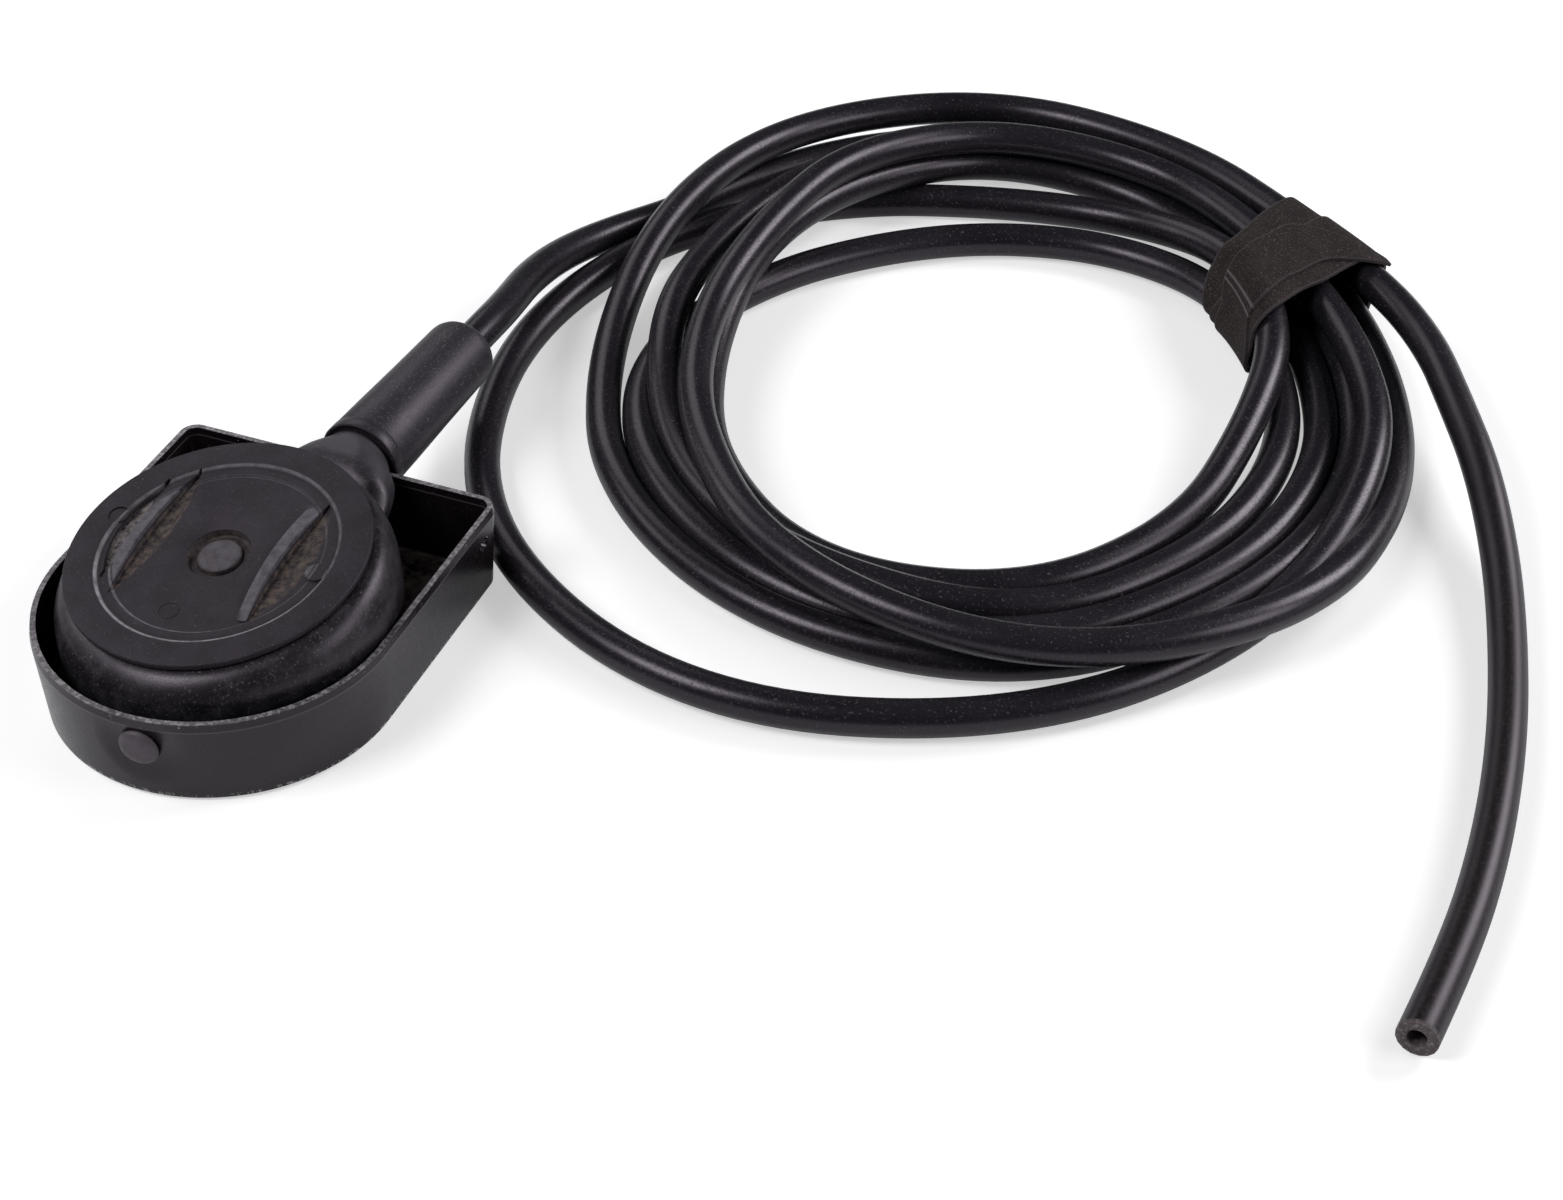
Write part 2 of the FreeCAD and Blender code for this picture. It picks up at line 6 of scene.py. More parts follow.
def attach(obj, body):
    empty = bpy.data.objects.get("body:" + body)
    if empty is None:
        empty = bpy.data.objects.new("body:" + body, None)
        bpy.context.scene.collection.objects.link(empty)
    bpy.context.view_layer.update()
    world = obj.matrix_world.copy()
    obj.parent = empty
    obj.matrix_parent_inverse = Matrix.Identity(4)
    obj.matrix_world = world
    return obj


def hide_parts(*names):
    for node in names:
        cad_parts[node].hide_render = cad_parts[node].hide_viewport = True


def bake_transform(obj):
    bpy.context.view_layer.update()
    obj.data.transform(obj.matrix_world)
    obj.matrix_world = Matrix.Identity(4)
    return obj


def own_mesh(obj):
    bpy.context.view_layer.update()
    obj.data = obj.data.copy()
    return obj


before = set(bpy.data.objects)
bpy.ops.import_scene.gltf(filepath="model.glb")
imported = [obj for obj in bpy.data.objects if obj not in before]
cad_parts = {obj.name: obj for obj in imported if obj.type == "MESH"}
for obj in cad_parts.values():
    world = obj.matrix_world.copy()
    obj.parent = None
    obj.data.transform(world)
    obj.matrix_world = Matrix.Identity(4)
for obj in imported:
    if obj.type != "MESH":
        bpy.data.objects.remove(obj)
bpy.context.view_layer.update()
mm = 0.001      # Blender's own lengths are in metres


def activate(obj):
    bpy.ops.object.select_all(action='DESELECT')
    obj.select_set(True)
    bpy.context.view_layer.objects.active = obj


def pickFaces(obj, wanted):
    # object mode, then edit mode with just these faces selected
    bpy.ops.object.mode_set(mode='EDIT')
    bpy.ops.mesh.select_all(action='DESELECT')
    bpy.ops.mesh.select_mode(type='FACE')
    bpy.ops.object.mode_set(mode='OBJECT')
    for face in obj.data.polygons:
        face.select = bool(wanted(face))
    bpy.ops.object.mode_set(mode='EDIT')


def addModifier(obj, kind, settings):
    activate(obj)
    modifier = obj.modifiers.new(kind, kind)
    for name, value in settings.items():
        setattr(modifier, name, value)
    bpy.ops.object.modifier_apply(modifier=modifier.name)


def settle(obj):
    # place, turn and scale go into the mesh
    activate(obj)
    bpy.ops.object.transform_apply(location=True, rotation=True, scale=True)


def smooth(obj, angle):
    # smooth shading, with sharp edges where faces meet at more than the angle
    activate(obj)
    bpy.ops.object.shade_smooth_by_angle(angle=math.radians(angle))


def place(obj, matrix):
    obj.matrix_world = matrix
    settle(obj)


def meshObject(name, corners, faces):
    mesh = bpy.data.meshes.new(name)
    mesh.from_pydata(corners, [], faces)
    obj = bpy.data.objects.new(name, mesh)
    bpy.context.collection.objects.link(obj)
    return obj


def faceOutward(obj):
    activate(obj)
    bpy.ops.object.mode_set(mode='EDIT')
    bpy.ops.mesh.select_all(action='SELECT')
    bpy.ops.mesh.normals_make_consistent(inside=False)
    bpy.ops.object.mode_set(mode='OBJECT')


def linear(code):
    # sRGB hex to linear colour
    channels = [int(code[i:i + 2], 16) / 255 for i in (1, 3, 5)]
    return tuple(c / 12.92 if c <= 0.04045 else ((c + 0.055) / 1.055) ** 2.4 for c in channels) + (1.0,)


def addNode(tree, kind, settings={}, links={}):
    # settings are properties and inputs by name or number; a link from a node means its first output
    node = tree.nodes.new('ShaderNode' + kind)
    for name, value in settings.items():
        if isinstance(name, int) or name in node.inputs:
            node.inputs[name].default_value = value
        else:
            setattr(node, name, value)
    for name, source in links.items():
        source = source.outputs[0] if isinstance(source, bpy.types.Node) else source
        tree.links.new(source, node.inputs[name])
    return node


glossTint = "#faedfc"       # black rubber and enamel give back the lamps with a touch of violet
dustRoughness = 0.8


def finish(name, look):
    # a base of two tones in soft patches, grain as bump and specks of dust; patch, grain, height and speck are
    # in millimetres, few is how rare the specks are and dusty how much they cover
    material = bpy.data.materials.new(name)
    material.use_nodes = True
    tree = material.node_tree
    tree.nodes.clear()
    where = addNode(tree, 'TexCoord')
    where.name = "where"
    spot = where.outputs["Object"]
    patches = addNode(tree, 'TexNoise', {"Scale": 1000 / look["patch"], "Detail": 4.0, "Roughness": 0.6},
                      {"Vector": spot})
    spread = addNode(tree, 'MapRange', {"From Min": 0.35, "From Max": 0.65}, {"Value": patches})
    tone = addNode(tree, 'Mix', {"data_type": 'RGBA', 6: linear(look["dark"]), 7: linear(look["light"])}, {0: spread})
    low, high = look["roughness"]
    fine = addNode(tree, 'TexNoise', {"Scale": 1000 / look["grain"], "Detail": 3.0, "Roughness": 0.55},
                   {"Vector": spot})
    sheen = addNode(tree, 'MapRange', {"From Min": 0.3, "From Max": 0.7, "To Min": low, "To Max": high},
                    {"Value": fine})
    relief = addNode(tree, 'Bump', {"Strength": look.get("relief", 0.5), "Distance": look["height"] * mm},
                     {"Height": fine})
    relief.name = "relief"
    shader = addNode(tree, 'BsdfPrincipled',
                     {"Specular IOR Level": look.get("specular", 0.5), "Metallic": look.get("metallic", 0.0),
                      "Specular Tint": linear(glossTint)},
                     {"Base Color": tone.outputs[2], "Roughness": sheen, "Normal": relief})
    shader.name = "surface"
    addNode(tree, 'OutputMaterial', {}, {"Surface": shader})
    specks = addNode(tree, 'TexNoise', {"Scale": 1000 / look["speck"], "Detail": 2.0}, {"Vector": spot})
    few = addNode(tree, 'MapRange',
                  {"From Min": look["few"], "From Max": look["few"] + 0.06, "To Max": look["dusty"]},
                  {"Value": specks})
    layer(material, few, look["dust"], dustRoughness)
    return material


def layer(material, mask, colour, roughness):
    # another finish lies over what the surface has so far, where the mask is one
    tree = material.node_tree
    shader = tree.nodes["surface"]
    below = shader.inputs["Base Color"].links[0].from_socket
    tone = addNode(tree, 'Mix', {"data_type": 'RGBA', 7: linear(colour)}, {0: mask, 6: below})
    tree.links.new(tone.outputs[2], shader.inputs["Base Color"])
    below = shader.inputs["Roughness"].links[0].from_socket
    sheen = addNode(tree, 'Mix', {"data_type": 'FLOAT', 3: roughness}, {0: mask, 2: below})
    tree.links.new(sheen.outputs[0], shader.inputs["Roughness"])


def dress(obj, material):
    # the object's only material
    obj.data.materials.clear()
    obj.data.materials.append(material)


def lathe(name, profile, origin, axis, steps=128):
    # profile is (radius, height) in millimetres, bottom to top; both ends on the axis close the piece
    bpy.ops.mesh.primitive_plane_add(size=mm, location=(0, 0, 0))
    obj = bpy.context.object
    obj.name = name
    bpy.ops.object.mode_set(mode='EDIT')
    bpy.ops.mesh.select_mode(type='VERT')
    bpy.ops.mesh.select_all(action='SELECT')
    bpy.ops.mesh.merge(type='CENTER')
    here = Vector((0, 0, 0))
    for index, (radius, height) in enumerate(profile):
        spot = Vector((radius, 0, height)) * mm
        move = {"value": spot - here}
        if index == 0:
            bpy.ops.transform.translate(**move)
        else:
            bpy.ops.mesh.extrude_vertices_move(TRANSFORM_OT_translate=move)
        here = spot
    bpy.ops.mesh.select_all(action='SELECT')
    bpy.ops.mesh.spin(steps=steps, angle=2 * math.pi, center=(0, 0, 0), axis=(0, 0, 1))
    bpy.ops.mesh.select_all(action='SELECT')
    bpy.ops.mesh.remove_doubles(threshold=0.000002)
    bpy.ops.mesh.normals_make_consistent(inside=False)
    bpy.ops.object.mode_set(mode='OBJECT')
    place(obj, Matrix.Translation(origin) @ Vector(axis).to_track_quat('Z', 'Y').to_matrix().to_4x4())
    return obj


def cut(obj, tool):
    addModifier(obj, 'BOOLEAN', {"object": tool, "operation": 'DIFFERENCE', "solver": 'EXACT'})
    bpy.data.objects.remove(tool)


def unite(obj, other):
    addModifier(obj, 'BOOLEAN', {"object": other, "operation": 'UNION', "solver": 'EXACT'})
    bpy.data.objects.remove(other)


print("tools ready")

# camera at the photograph's angle: metres, degrees and millimetres of focal length
photoCamera = {
    "place": (0.2570, -0.3588, 0.3744), "heading": 21.04, "downward": 39.53, "roll": 0.64, "focal": 64.73,
    "sensor": 36,
}
bpy.ops.object.camera_add()
camera = bpy.context.object
camera.name = "photoCamera"
turn = Matrix.Rotation(math.radians(photoCamera["heading"]), 4, 'Z')
tilt = Matrix.Rotation(math.radians(90 - photoCamera["downward"]), 4, 'X')
roll = Matrix.Rotation(math.radians(photoCamera["roll"]), 4, 'Z')
camera.matrix_world = Matrix.Translation(photoCamera["place"]) @ turn @ tilt @ roll
camera.data.lens = photoCamera["focal"]
camera.data.sensor_width = photoCamera["sensor"]
camera.data.clip_start = 0.01
bpy.context.scene.camera = camera
print("camera ready")

# heights of the hose's middle in millimetres: on the floor, on one strand, on two, and the same under the strap
low, high, top = 4.2, 12.8, 20.8
tied, tiedHigh = 5.4, 13.9
airHose = {
    "radius": 0.004, "bore": 0.002, "boreDepth": 0.013, "length": 3.80,
    "lip": 0.0003, "lipRise": 0.0001,       # width and height of the soft edges round the cut end
    "coilMiddle": (0.113, 0.160), "strapAngle": 50, "hourAngle": 30,
    "swell": 1.035,     # control points stand this much outside the line that they draw
    # the rest is in millimetres; from the sleeve to the coil
    "lead": [
        (5.6, 118, 18.4), (2.6, 136, 14.6), (2.6, 154, 10.6), (6.5, 172, 6.6), (16.5, 191, low), (27, 211, low),
        (41, 230, low), (60.6, 245.5, low), (88.3, 257, low), (118.2, 259, low),
    ],
    "beforeStrap": (87.5, tied, -31),
    # six turns of twelve hours, clockwise from the strap: reach from the coil's middle, and height
    "coilReach": [
        [84.6, 84.4, 93.5, 110, 113.5, 101, 80, 68, 63, 72, 82, 81],
        [71.5, 76, 88.5, 102.2, 121.5, 136, 131, 114, 97, 78, 68, 67],
        [62.5, 59.5, 58, 68.5, 83, 87, 76.5, 67, 66, 71, 83, 80],
        [67, 68.5, 76, 86, 99.2, 99, 92.2, 82, 64, 54, 52, 55],
        [58, 60, 67, 77.4, 91, 92.5, 84.2, 78, 76, 82, 91.5, 88.5],
        [75.8, 76, 84, 94, 107.6, 106.5, 99.8, 91, 92, 103.5, 107, 91.5],
    ],
    "coilHeight": [
        [tied, low, low, 12, 13.5, 15.5, 15, 16, top, top, 16, high],
        [tiedHigh, high, high, low, low, low, low, low, low, low, low, 6],
        [tiedHigh, 13.4, 9, low, low, low, low, 7, 13.8, 13.5, 8, low],
        [tied, low, low, low, low, low, 6, low, low, low, low, low],
        [tied, low, low, low, low, 9.5, low, 14, high, high, low, low],
        [tied, low, low, low, low, low, low, low, 13.6, 12, 10.2, high],
    ],
    "coilEnd": (82, tiedHigh),
    "afterStrap": (85.5, tiedHigh, 28),
    # from the strap to the open end
    "tail": [
        (203.5, 190, 13.2), (213, 171, 12.4), (223, 151, 10.6), (232, 128, 6), (238.5, 102, low),
        (243.5, 73, low), (246, 43, low), (245.6, 14, low), (242.7, -10.5, low),
    ],
}

# from the coil's middle outward to the strap, and there along the hose
middleX, middleY = airHose["coilMiddle"]
coilMiddle = Vector((middleX, middleY, 0))
strapTurn = math.radians(airHose["strapAngle"])
strapOut = Vector((math.cos(strapTurn), math.sin(strapTurn), 0))
strapForward = Vector((math.sin(strapTurn), -math.cos(strapTurn), 0))


def atStrap(reach, height, along=0.0):
    # across the bundle, above the floor and along the hose, in millimetres
    return coilMiddle + (strapOut * reach + strapForward * along + Vector((0, 0, height))) * mm


# the line on which neck, ring, sleeve and hose leave the pan, from the ring's near face; they turn right by the yaw
neckLine = {"start": (0.004, 0.05107, 0.0205), "yaw": 2.5, "hoseStart": (30, 52)}
neckStart = Vector(neckLine["start"])
neckDirection = Vector((math.sin(math.radians(neckLine["yaw"])), math.cos(math.radians(neckLine["yaw"])), 0))


def onNeck(along):
    # along is in millimetres
    return neckStart + neckDirection * (along * mm)


hoseRoute = [onNeck(along) for along in neckLine["hoseStart"]]
hoseRoute += [Vector(p) * mm for p in airHose["lead"]]
hoseRoute.append(atStrap(*airHose["beforeStrap"]))
for reaches, heights in zip(airHose["coilReach"], airHose["coilHeight"]):
    for hour, (reach, height) in enumerate(zip(reaches, heights)):
        angle = math.radians(airHose["strapAngle"] - airHose["hourAngle"] * hour)
        out = reach * airHose["swell"] * mm
        hoseRoute.append(Vector((middleX + out * math.cos(angle), middleY + out * math.sin(angle), height * mm)))
endReach, endHeight = airHose["coilEnd"]
hoseRoute.append(atStrap(endReach * airHose["swell"], endHeight))
hoseRoute.append(atStrap(*airHose["afterStrap"]))
hoseRoute += [Vector(p) * mm for p in airHose["tail"]]


def curveThrough(name, spots):
    # a smooth line drawn by the spots, from the first to the last
    line = bpy.data.curves.new(name, 'CURVE')
    line.dimensions = '3D'
    line.resolution_u = 16
    spline = line.splines.new('NURBS')
    spline.points.add(len(spots) - 1)
    for point, spot in zip(spline.points, spots):
        point.co = spot.to_4d()
    spline.order_u = 3
    spline.use_endpoint_u = True
    obj = bpy.data.objects.new(name, line)
    bpy.context.collection.objects.link(obj)
    return obj


def roundWire(curve, radius, roundness):
    # the curve with a round section and flat ends, as a mesh
    curve.data.bevel_depth = radius
    curve.data.bevel_resolution = roundness
    curve.data.use_fill_caps = True
    activate(curve)
    bpy.ops.object.convert(target='MESH')
    obj = bpy.context.object
    bpy.ops.object.mode_set(mode='EDIT')
    bpy.ops.mesh.select_all(action='SELECT')
    bpy.ops.mesh.remove_doubles(threshold=0.00001)
    bpy.ops.mesh.normals_make_consistent(inside=False)
    bpy.ops.object.mode_set(mode='OBJECT')
    return obj


# the bare line gives the path, and the same line with a round section gives the tube
hose = roundWire(curveThrough("airHose", hoseRoute), airHose["radius"], 6)
hoseLine = curveThrough("hoseLine", hoseRoute)
activate(hoseLine)
bpy.ops.object.convert(target='MESH')
hoseLine = bpy.context.object
hosePath = [v.co.copy() for v in hoseLine.data.vertices]
bpy.data.objects.remove(hoseLine)

# open end: the cap is drawn in to the bore's edge and pushed down the bore
mouth = hosePath[-1]
inward = (hosePath[-2] - hosePath[-1]).normalized()
activate(hose)
pickFaces(hose, lambda f: (f.center - mouth).length < airHose["radius"] and f.normal.dot(-inward) > 0.9)
bpy.ops.mesh.inset(thickness=airHose["lip"], depth=airHose["lipRise"])
bpy.ops.mesh.inset(thickness=airHose["radius"] - airHose["bore"] - 2 * airHose["lip"])
bpy.ops.mesh.inset(thickness=airHose["lip"], depth=-2 * airHose["lipRise"])
bpy.ops.mesh.extrude_region_move(TRANSFORM_OT_translate={"value": inward * airHose["boreDepth"]})
bpy.ops.object.mode_set(mode='OBJECT')
smooth(hose, 40)

# extruded black natural rubber: smooth and satin, so that each strand has one soft long highlight
hoseRubber = finish("satinHoseRubber", {
    "dark": "#18161b", "light": "#232126", "patch": 24, "grain": 0.5, "height": 0.03, "relief": 0.4,
    "roughness": (0.25, 0.37), "dust": "#716c6e", "speck": 0.5, "few": 0.64, "dusty": 0.4,
})
# from x = 0.205 m on, the loose end of the hose is darker, browner and duller than the coil, with pale scuffs
tree = hoseRubber.node_tree
spot = tree.nodes["where"].outputs["Object"]
split = addNode(tree, 'SeparateXYZ', {}, {0: spot})
tailPart = addNode(tree, 'MapRange', {"From Min": 0.205, "From Max": 0.238, "To Max": 0.9},
                  {"Value": split.outputs["X"]})
layer(hoseRubber, tailPart, "#151112", 0.4)
scuffs = addNode(tree, 'TexNoise', {"Scale": 1000 / 0.8, "Detail": 6.0, "Roughness": 0.7}, {"Vector": spot})
pale = addNode(tree, 'MapRange', {"From Min": 0.52, "From Max": 0.68, "To Max": 0.5}, {"Value": scuffs})
mask = addNode(tree, 'Math', {"operation": 'MULTIPLY'}, {0: pale, 1: tailPart})
layer(hoseRubber, mask, "#4d4646", 0.6)
# dull pale ring with specks on the cut end, where the knife went through
fromEnd = addNode(tree, 'VectorMath', {"operation": 'DISTANCE', 1: tuple(mouth)}, {0: spot})
nearEnd = addNode(tree, 'MapRange', {"From Min": 1.025 * airHose["radius"], "From Max": 0.975 * airHose["radius"]},
                  {"Value": fromEnd.outputs["Value"]})
layer(hoseRubber, nearEnd, "#5b5354", 0.8)
specks = addNode(tree, 'MapRange', {"From Min": 0.5, "From Max": 0.62, "To Max": 0.55}, {"Value": scuffs})
mask = addNode(tree, 'Math', {"operation": 'MULTIPLY'}, {0: specks, 1: nearEnd})
layer(hoseRubber, mask, "#a59e9e", 0.8)
dress(hose, hoseRubber)
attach(hose, "base")
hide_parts("hose_lead", "hose_coil", "hose_tail")
print("hose ready,", round(sum((b - a).length for a, b in zip(hosePath, hosePath[1:])), 4), "m")

# foot bulb and plate: sizes in millimetres, as on the solids
footBulb = {
    "middle": (0.3, 3.2, 1.9), "radius": 34.45,
    "levelShare": 0.12,     # up to this share of the height the rings stay level
    "lidRadius": 28.5, "lidShare": 0.999,
    "seatRadius": 27.3, "seatDepth": 10, "seatLift": 2.15,
    # height as a share of the whole, and radius as a share of the largest
    "bulge": [
        (0, 0.78), (0.006, 0.8), (0.04, 0.862), (0.08, 0.902), (0.16, 0.944), (0.25, 0.972), (0.37, 0.991),
        (0.5, 1.0), (0.62, 1.003), (0.74, 1.0), (0.81, 0.991), (0.87, 0.975), (0.92, 0.953), (0.96, 0.927),
        (0.985, 0.902), (1.0, 0.875),
    ],
}
footPlate = {
    "middle": (-1.3, 3.8, 29.8), "riseBack": 0.148, "riseRight": 0.062, "shoulder": 1.6,
    "profile": [
        (0, -1.55), (4.1, -1.6), (4.45, -1.7), (4.6, -2.0), (4.75, -2.5), (6.1, -2.6), (6.35, -2.4), (6.5, -1.2),
        (6.6, -0.97), (6.75, -0.9),
    ],
    "rim": [
        (21.3, -0.9), (21.5, -0.82), (21.75, -0.5), (21.95, -0.42), (23.75, -0.52), (23.95, -0.48), (24.15, -0.3),
        (24.4, -0.1), (24.7, -0.02), (25.0, 0), (30.4, 0), (30.75, -0.1), (30.9, -0.35), (30.9, -1.1), (30.8, -1.27),
        (30.6, -1.3), (27.0, -1.3), (27.0, -2.9), (0, -2.9),
    ],
    "steps": 192,
}
plateNormal = Vector((-footPlate["riseRight"], -footPlate["riseBack"], 1)).normalized()
plateRight = Vector((1, 0, footPlate["riseRight"])).normalized()
plateForward = plateNormal.cross(plateRight)
plateMiddle = Vector(footPlate["middle"]) * mm


def onPlate(right, forward, height=0.0):
    return plateMiddle + (plateRight * right + plateForward * forward + plateNormal * height) * mm


bulbBase = Vector(footBulb["middle"]) * mm
# the shoulder's middle: straight over the bulb's foot, in the slanting plane under the plate's edge
bulbTop = onPlate(0, 0, -footPlate["shoulder"])
aside = bulbBase - bulbTop
bulbTop = Vector((bulbBase.x, bulbBase.y,
                  bulbTop.z - (aside.x * plateNormal.x + aside.y * plateNormal.y) / plateNormal.z))
bulbHeight = (bulbTop.z - bulbBase.z) / mm
bulbLine = [(r * footBulb["radius"], s * bulbHeight) for s, r in footBulb["bulge"]]
lid = footBulb["lidShare"] * bulbHeight
bulb = lathe("footBulb", [(0, 0)] + bulbLine + [(footBulb["lidRadius"], lid), (0, lid)], (0, 0, 0), (0, 0, 1))
# the rings turn from level to the plate's slant, and lean over to it
for vertex in bulb.data.vertices:
    share = vertex.co.z / (bulbHeight * mm)
    turned = max(0.0, share - footBulb["levelShare"]) / (1 - footBulb["levelShare"])
    slant = Vector((0, 0, 1)).rotation_difference(Vector((0, 0, 1)).lerp(plateNormal, turned))
    vertex.co = bulbBase.lerp(bulbTop, share) + slant @ Vector((vertex.co.x, vertex.co.y, 0))
addModifier(bulb, 'SUBSURF', {"levels": 1})
# the plate's core sits in a round seat in the shoulder
bpy.ops.mesh.primitive_cylinder_add(vertices=128, radius=footBulb["seatRadius"] * mm,
                                    depth=footBulb["seatDepth"] * mm, location=onPlate(0, 0, footBulb["seatLift"]))
seat = bpy.context.object
seat.rotation_euler = plateNormal.to_track_quat('Z', 'Y').to_euler()
settle(seat)
cut(bulb, seat)
smooth(bulb, 40)

# moulded black rubber, satin, with pale scuffs where shoes have rubbed it
bulbRubber = finish("satinBulbRubber", {
    "dark": "#161418", "light": "#211f23", "patch": 14, "grain": 0.35, "height": 0.03, "relief": 0.5,
    "roughness": (0.3, 0.45), "dust": "#6d6868", "speck": 0.5, "few": 0.62, "dusty": 0.5,
})
tree = bulbRubber.node_tree
spot = tree.nodes["where"].outputs["Object"]
scuffs = addNode(tree, 'TexNoise', {"Scale": 1000 / 5.0, "Detail": 8.0, "Roughness": 0.75}, {"Vector": spot})
scuffed = addNode(tree, 'MapRange', {"From Min": 0.47, "From Max": 0.66, "To Max": 0.4}, {"Value": scuffs})
layer(bulbRubber, scuffed, "#4e4b51", 0.55)
# painted light: the neck behind the bulb is painted paler, for the light that falls on its upward face
split = addNode(tree, 'SeparateXYZ', {}, {0: spot})
neckPaintedLight = addNode(tree, 'MapRange', {"From Min": 0.038, "From Max": 0.047, "To Max": 0.85},
                 {"Value": split.outputs["Y"]})
layer(bulbRubber, neckPaintedLight, "#454248", 0.5)
dress(bulb, bulbRubber)
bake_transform(bulb)
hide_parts("bellows")

# neck, ring and sleeve: radius and place along the neck's line
bulbNeck = {
    "profile": [(0, -22), (15.5, -22), (14.2, -12), (13.2, -9), (12.4, -7), (11.5, -5.2), (10.3, -3.8), (9.0, -2.6),
                (8.2, -1.7), (7.8, -1.0), (7.6, -0.5), (7.3, -0.1), (5.5, 0.1), (5.5, 19.5), (0, 19.5)],
    "tube": 7.7, "flatten": 0.85,       # outside this radius the neck is flattened, by this power of the radius
    "diveFrom": -10, "roof": 28.2,      # in front of this place its roof dives, clear of the pressed plate
    "steps": 96,
}
neck = lathe("bulbNeck", bulbNeck["profile"], neckStart, neckDirection, bulbNeck["steps"])
# the neck spreads sideways into the bulb, stays level on top and dives into it under the plate's edge
for vertex in neck.data.vertices:
    away = vertex.co - neckStart
    reach = max(mm, away.cross(neckDirection).length)
    inFront = max(0.0, bulbNeck["diveFrom"] * mm - away.dot(neckDirection))
    height = neckStart.z + away.z * min(1.0, bulbNeck["tube"] * mm / reach) ** bulbNeck["flatten"]
    vertex.co.z = min(height, bulbNeck["roof"] * mm - inFront)
smooth(neck, 80)
dress(neck, bulbRubber)
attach(neck, "base")
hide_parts("bellows")

ringShape = {
    "profile": [(5.6, 0.5), (7.9, 0.5), (8.1, 0.3), (8.4, 0.05), (8.75, 0.0), (8.98, 0.15), (9.05, 0.4), (9.0, 2.88),
                (8.95, 2.97), (8.85, 3.0), (5.6, 3.0), (5.6, 0.5)],
    "steps": 96,
}
sleeveRing = lathe("sleeveRing", ringShape["profile"], neckStart, neckDirection, ringShape["steps"])
smooth(sleeveRing, 40)

# moulded black plastic, dull from handling
ringPlastic = finish("mattBlackRing", {
    "dark": "#262429", "light": "#2e2b31", "patch": 6, "grain": 0.3, "height": 0.02, "roughness": (0.35, 0.5),
    "dust": "#777070", "speck": 0.5, "few": 0.62, "dusty": 0.4,
})
dress(sleeveRing, ringPlastic)
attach(sleeveRing, "base")
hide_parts("sleeve_ring")

sleeveShape = {
    "profile": [
        (5.6, 3.02), (8.75, 3.02), (8.87, 3.07), (8.92, 3.2), (8.75, 12), (8.4, 25), (8.05, 42.6), (7.9, 43.7),
        (7.5, 44.7), (6.9, 45.5), (6.1, 45.9), (5.4, 46.0), (4.35, 46.0), (4.1, 45.7), (4.1, 38.0), (5.6, 36.0),
        (5.6, 3.05),
    ],
    "steps": 96,
}
sleeve = lathe("hoseSleeve", sleeveShape["profile"], neckStart, neckDirection, sleeveShape["steps"])
smooth(sleeve, 40)

# thick moulded rubber, a shade greyer and duller than the hose
sleeveRubber = finish("satinSleeveRubber", {
    "dark": "#2a282e", "light": "#322f35", "patch": 9, "grain": 0.4, "height": 0.03, "roughness": (0.38, 0.52),
    "dust": "#7a7474", "speck": 0.45, "few": 0.6, "dusty": 0.45,
})
dress(sleeve, sleeveRubber)
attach(sleeve, "base")
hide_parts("sleeve")
print("bulb, neck and sleeve ready")

# foot plate, made level and then set on its slant; lines run from front to back, and bow sideways
plate = lathe("footPlate", footPlate["profile"] + footPlate["rim"], (0, 0, 0), (0, 0, 1), footPlate["steps"])
plateRibs = [
    {"ends": (-16.0, 20.0), "foot": (-18.6, -18.4, -1.7), "crest": (-16.1, -14.9, -1.9), "far": (-16.0, -14.6, 3.2),
     "rise": 1.15, "hollow": 1.3},
    {"ends": (-15.5, 17.8), "foot": (12.3, 11.9, -1.7), "crest": (14.6, 15.6, -1.8), "far": (14.9, 15.9, 5.0),
     "rise": 1.1, "hollow": 1.4},
]
# millimetres: the hollow ends in a wall under the crest and runs out to the far line
ribSection = {
    "stations": 40, "wall": 0.12, "narrowest": 0.3, "runOut": 2.2, "leastDepth": 0.05, "leastRise": 0.35,
    "slope": 0.35, "edge": 0.3, "top": 0.2, "overlap": 0.1,
}
sideHollow = {"ends": (-12.5, 15.5), "outer": (-19.2, -19.2, -4.0), "depth": 0.8, "leastDepth": 0.04,
              "narrowest": 0.8}
panel = -0.9        # height of the face between the ribs
above = 3           # cutting bodies stand this much over the face
# round marks with a disc in each: across, forward, radius and height of the floor
moulderMarks = {
    "spots": [(-24.8, 3.7, 2.1, -0.35), (22.2, -0.2, 2.4, -0.25), (-1.8, -16.7, 2.1, -1.0)],
    "gap": 0.15, "sunk": 0.5, "disc": 0.6,
}


def bowed(line, share):
    front, back, bow = line
    return front + (back - front) * share + 4 * bow * share * (1 - share)


def skin(name, loops):
    # a closed body through loops of corners, with flat ends
    count = len(loops[0])
    corners = [tuple(Vector(c) * mm) for loop in loops for c in loop]
    faces = [tuple(range(count)), tuple(range(len(corners) - count, len(corners)))]
    for k in range(len(loops) - 1):
        for i in range(count):
            j = (i + 1) % count
            faces.append((k * count + i, k * count + j, (k + 1) * count + j, (k + 1) * count + i))
    obj = meshObject(name, corners, faces)
    faceOutward(obj)
    return obj


def roundMark(across, forward, radius, top, height):
    bpy.ops.mesh.primitive_cylinder_add(vertices=64, radius=radius * mm, depth=height * mm,
                                        location=Vector((across, forward, top + height / 2)) * mm)
    disc = bpy.context.object
    settle(disc)
    return disc


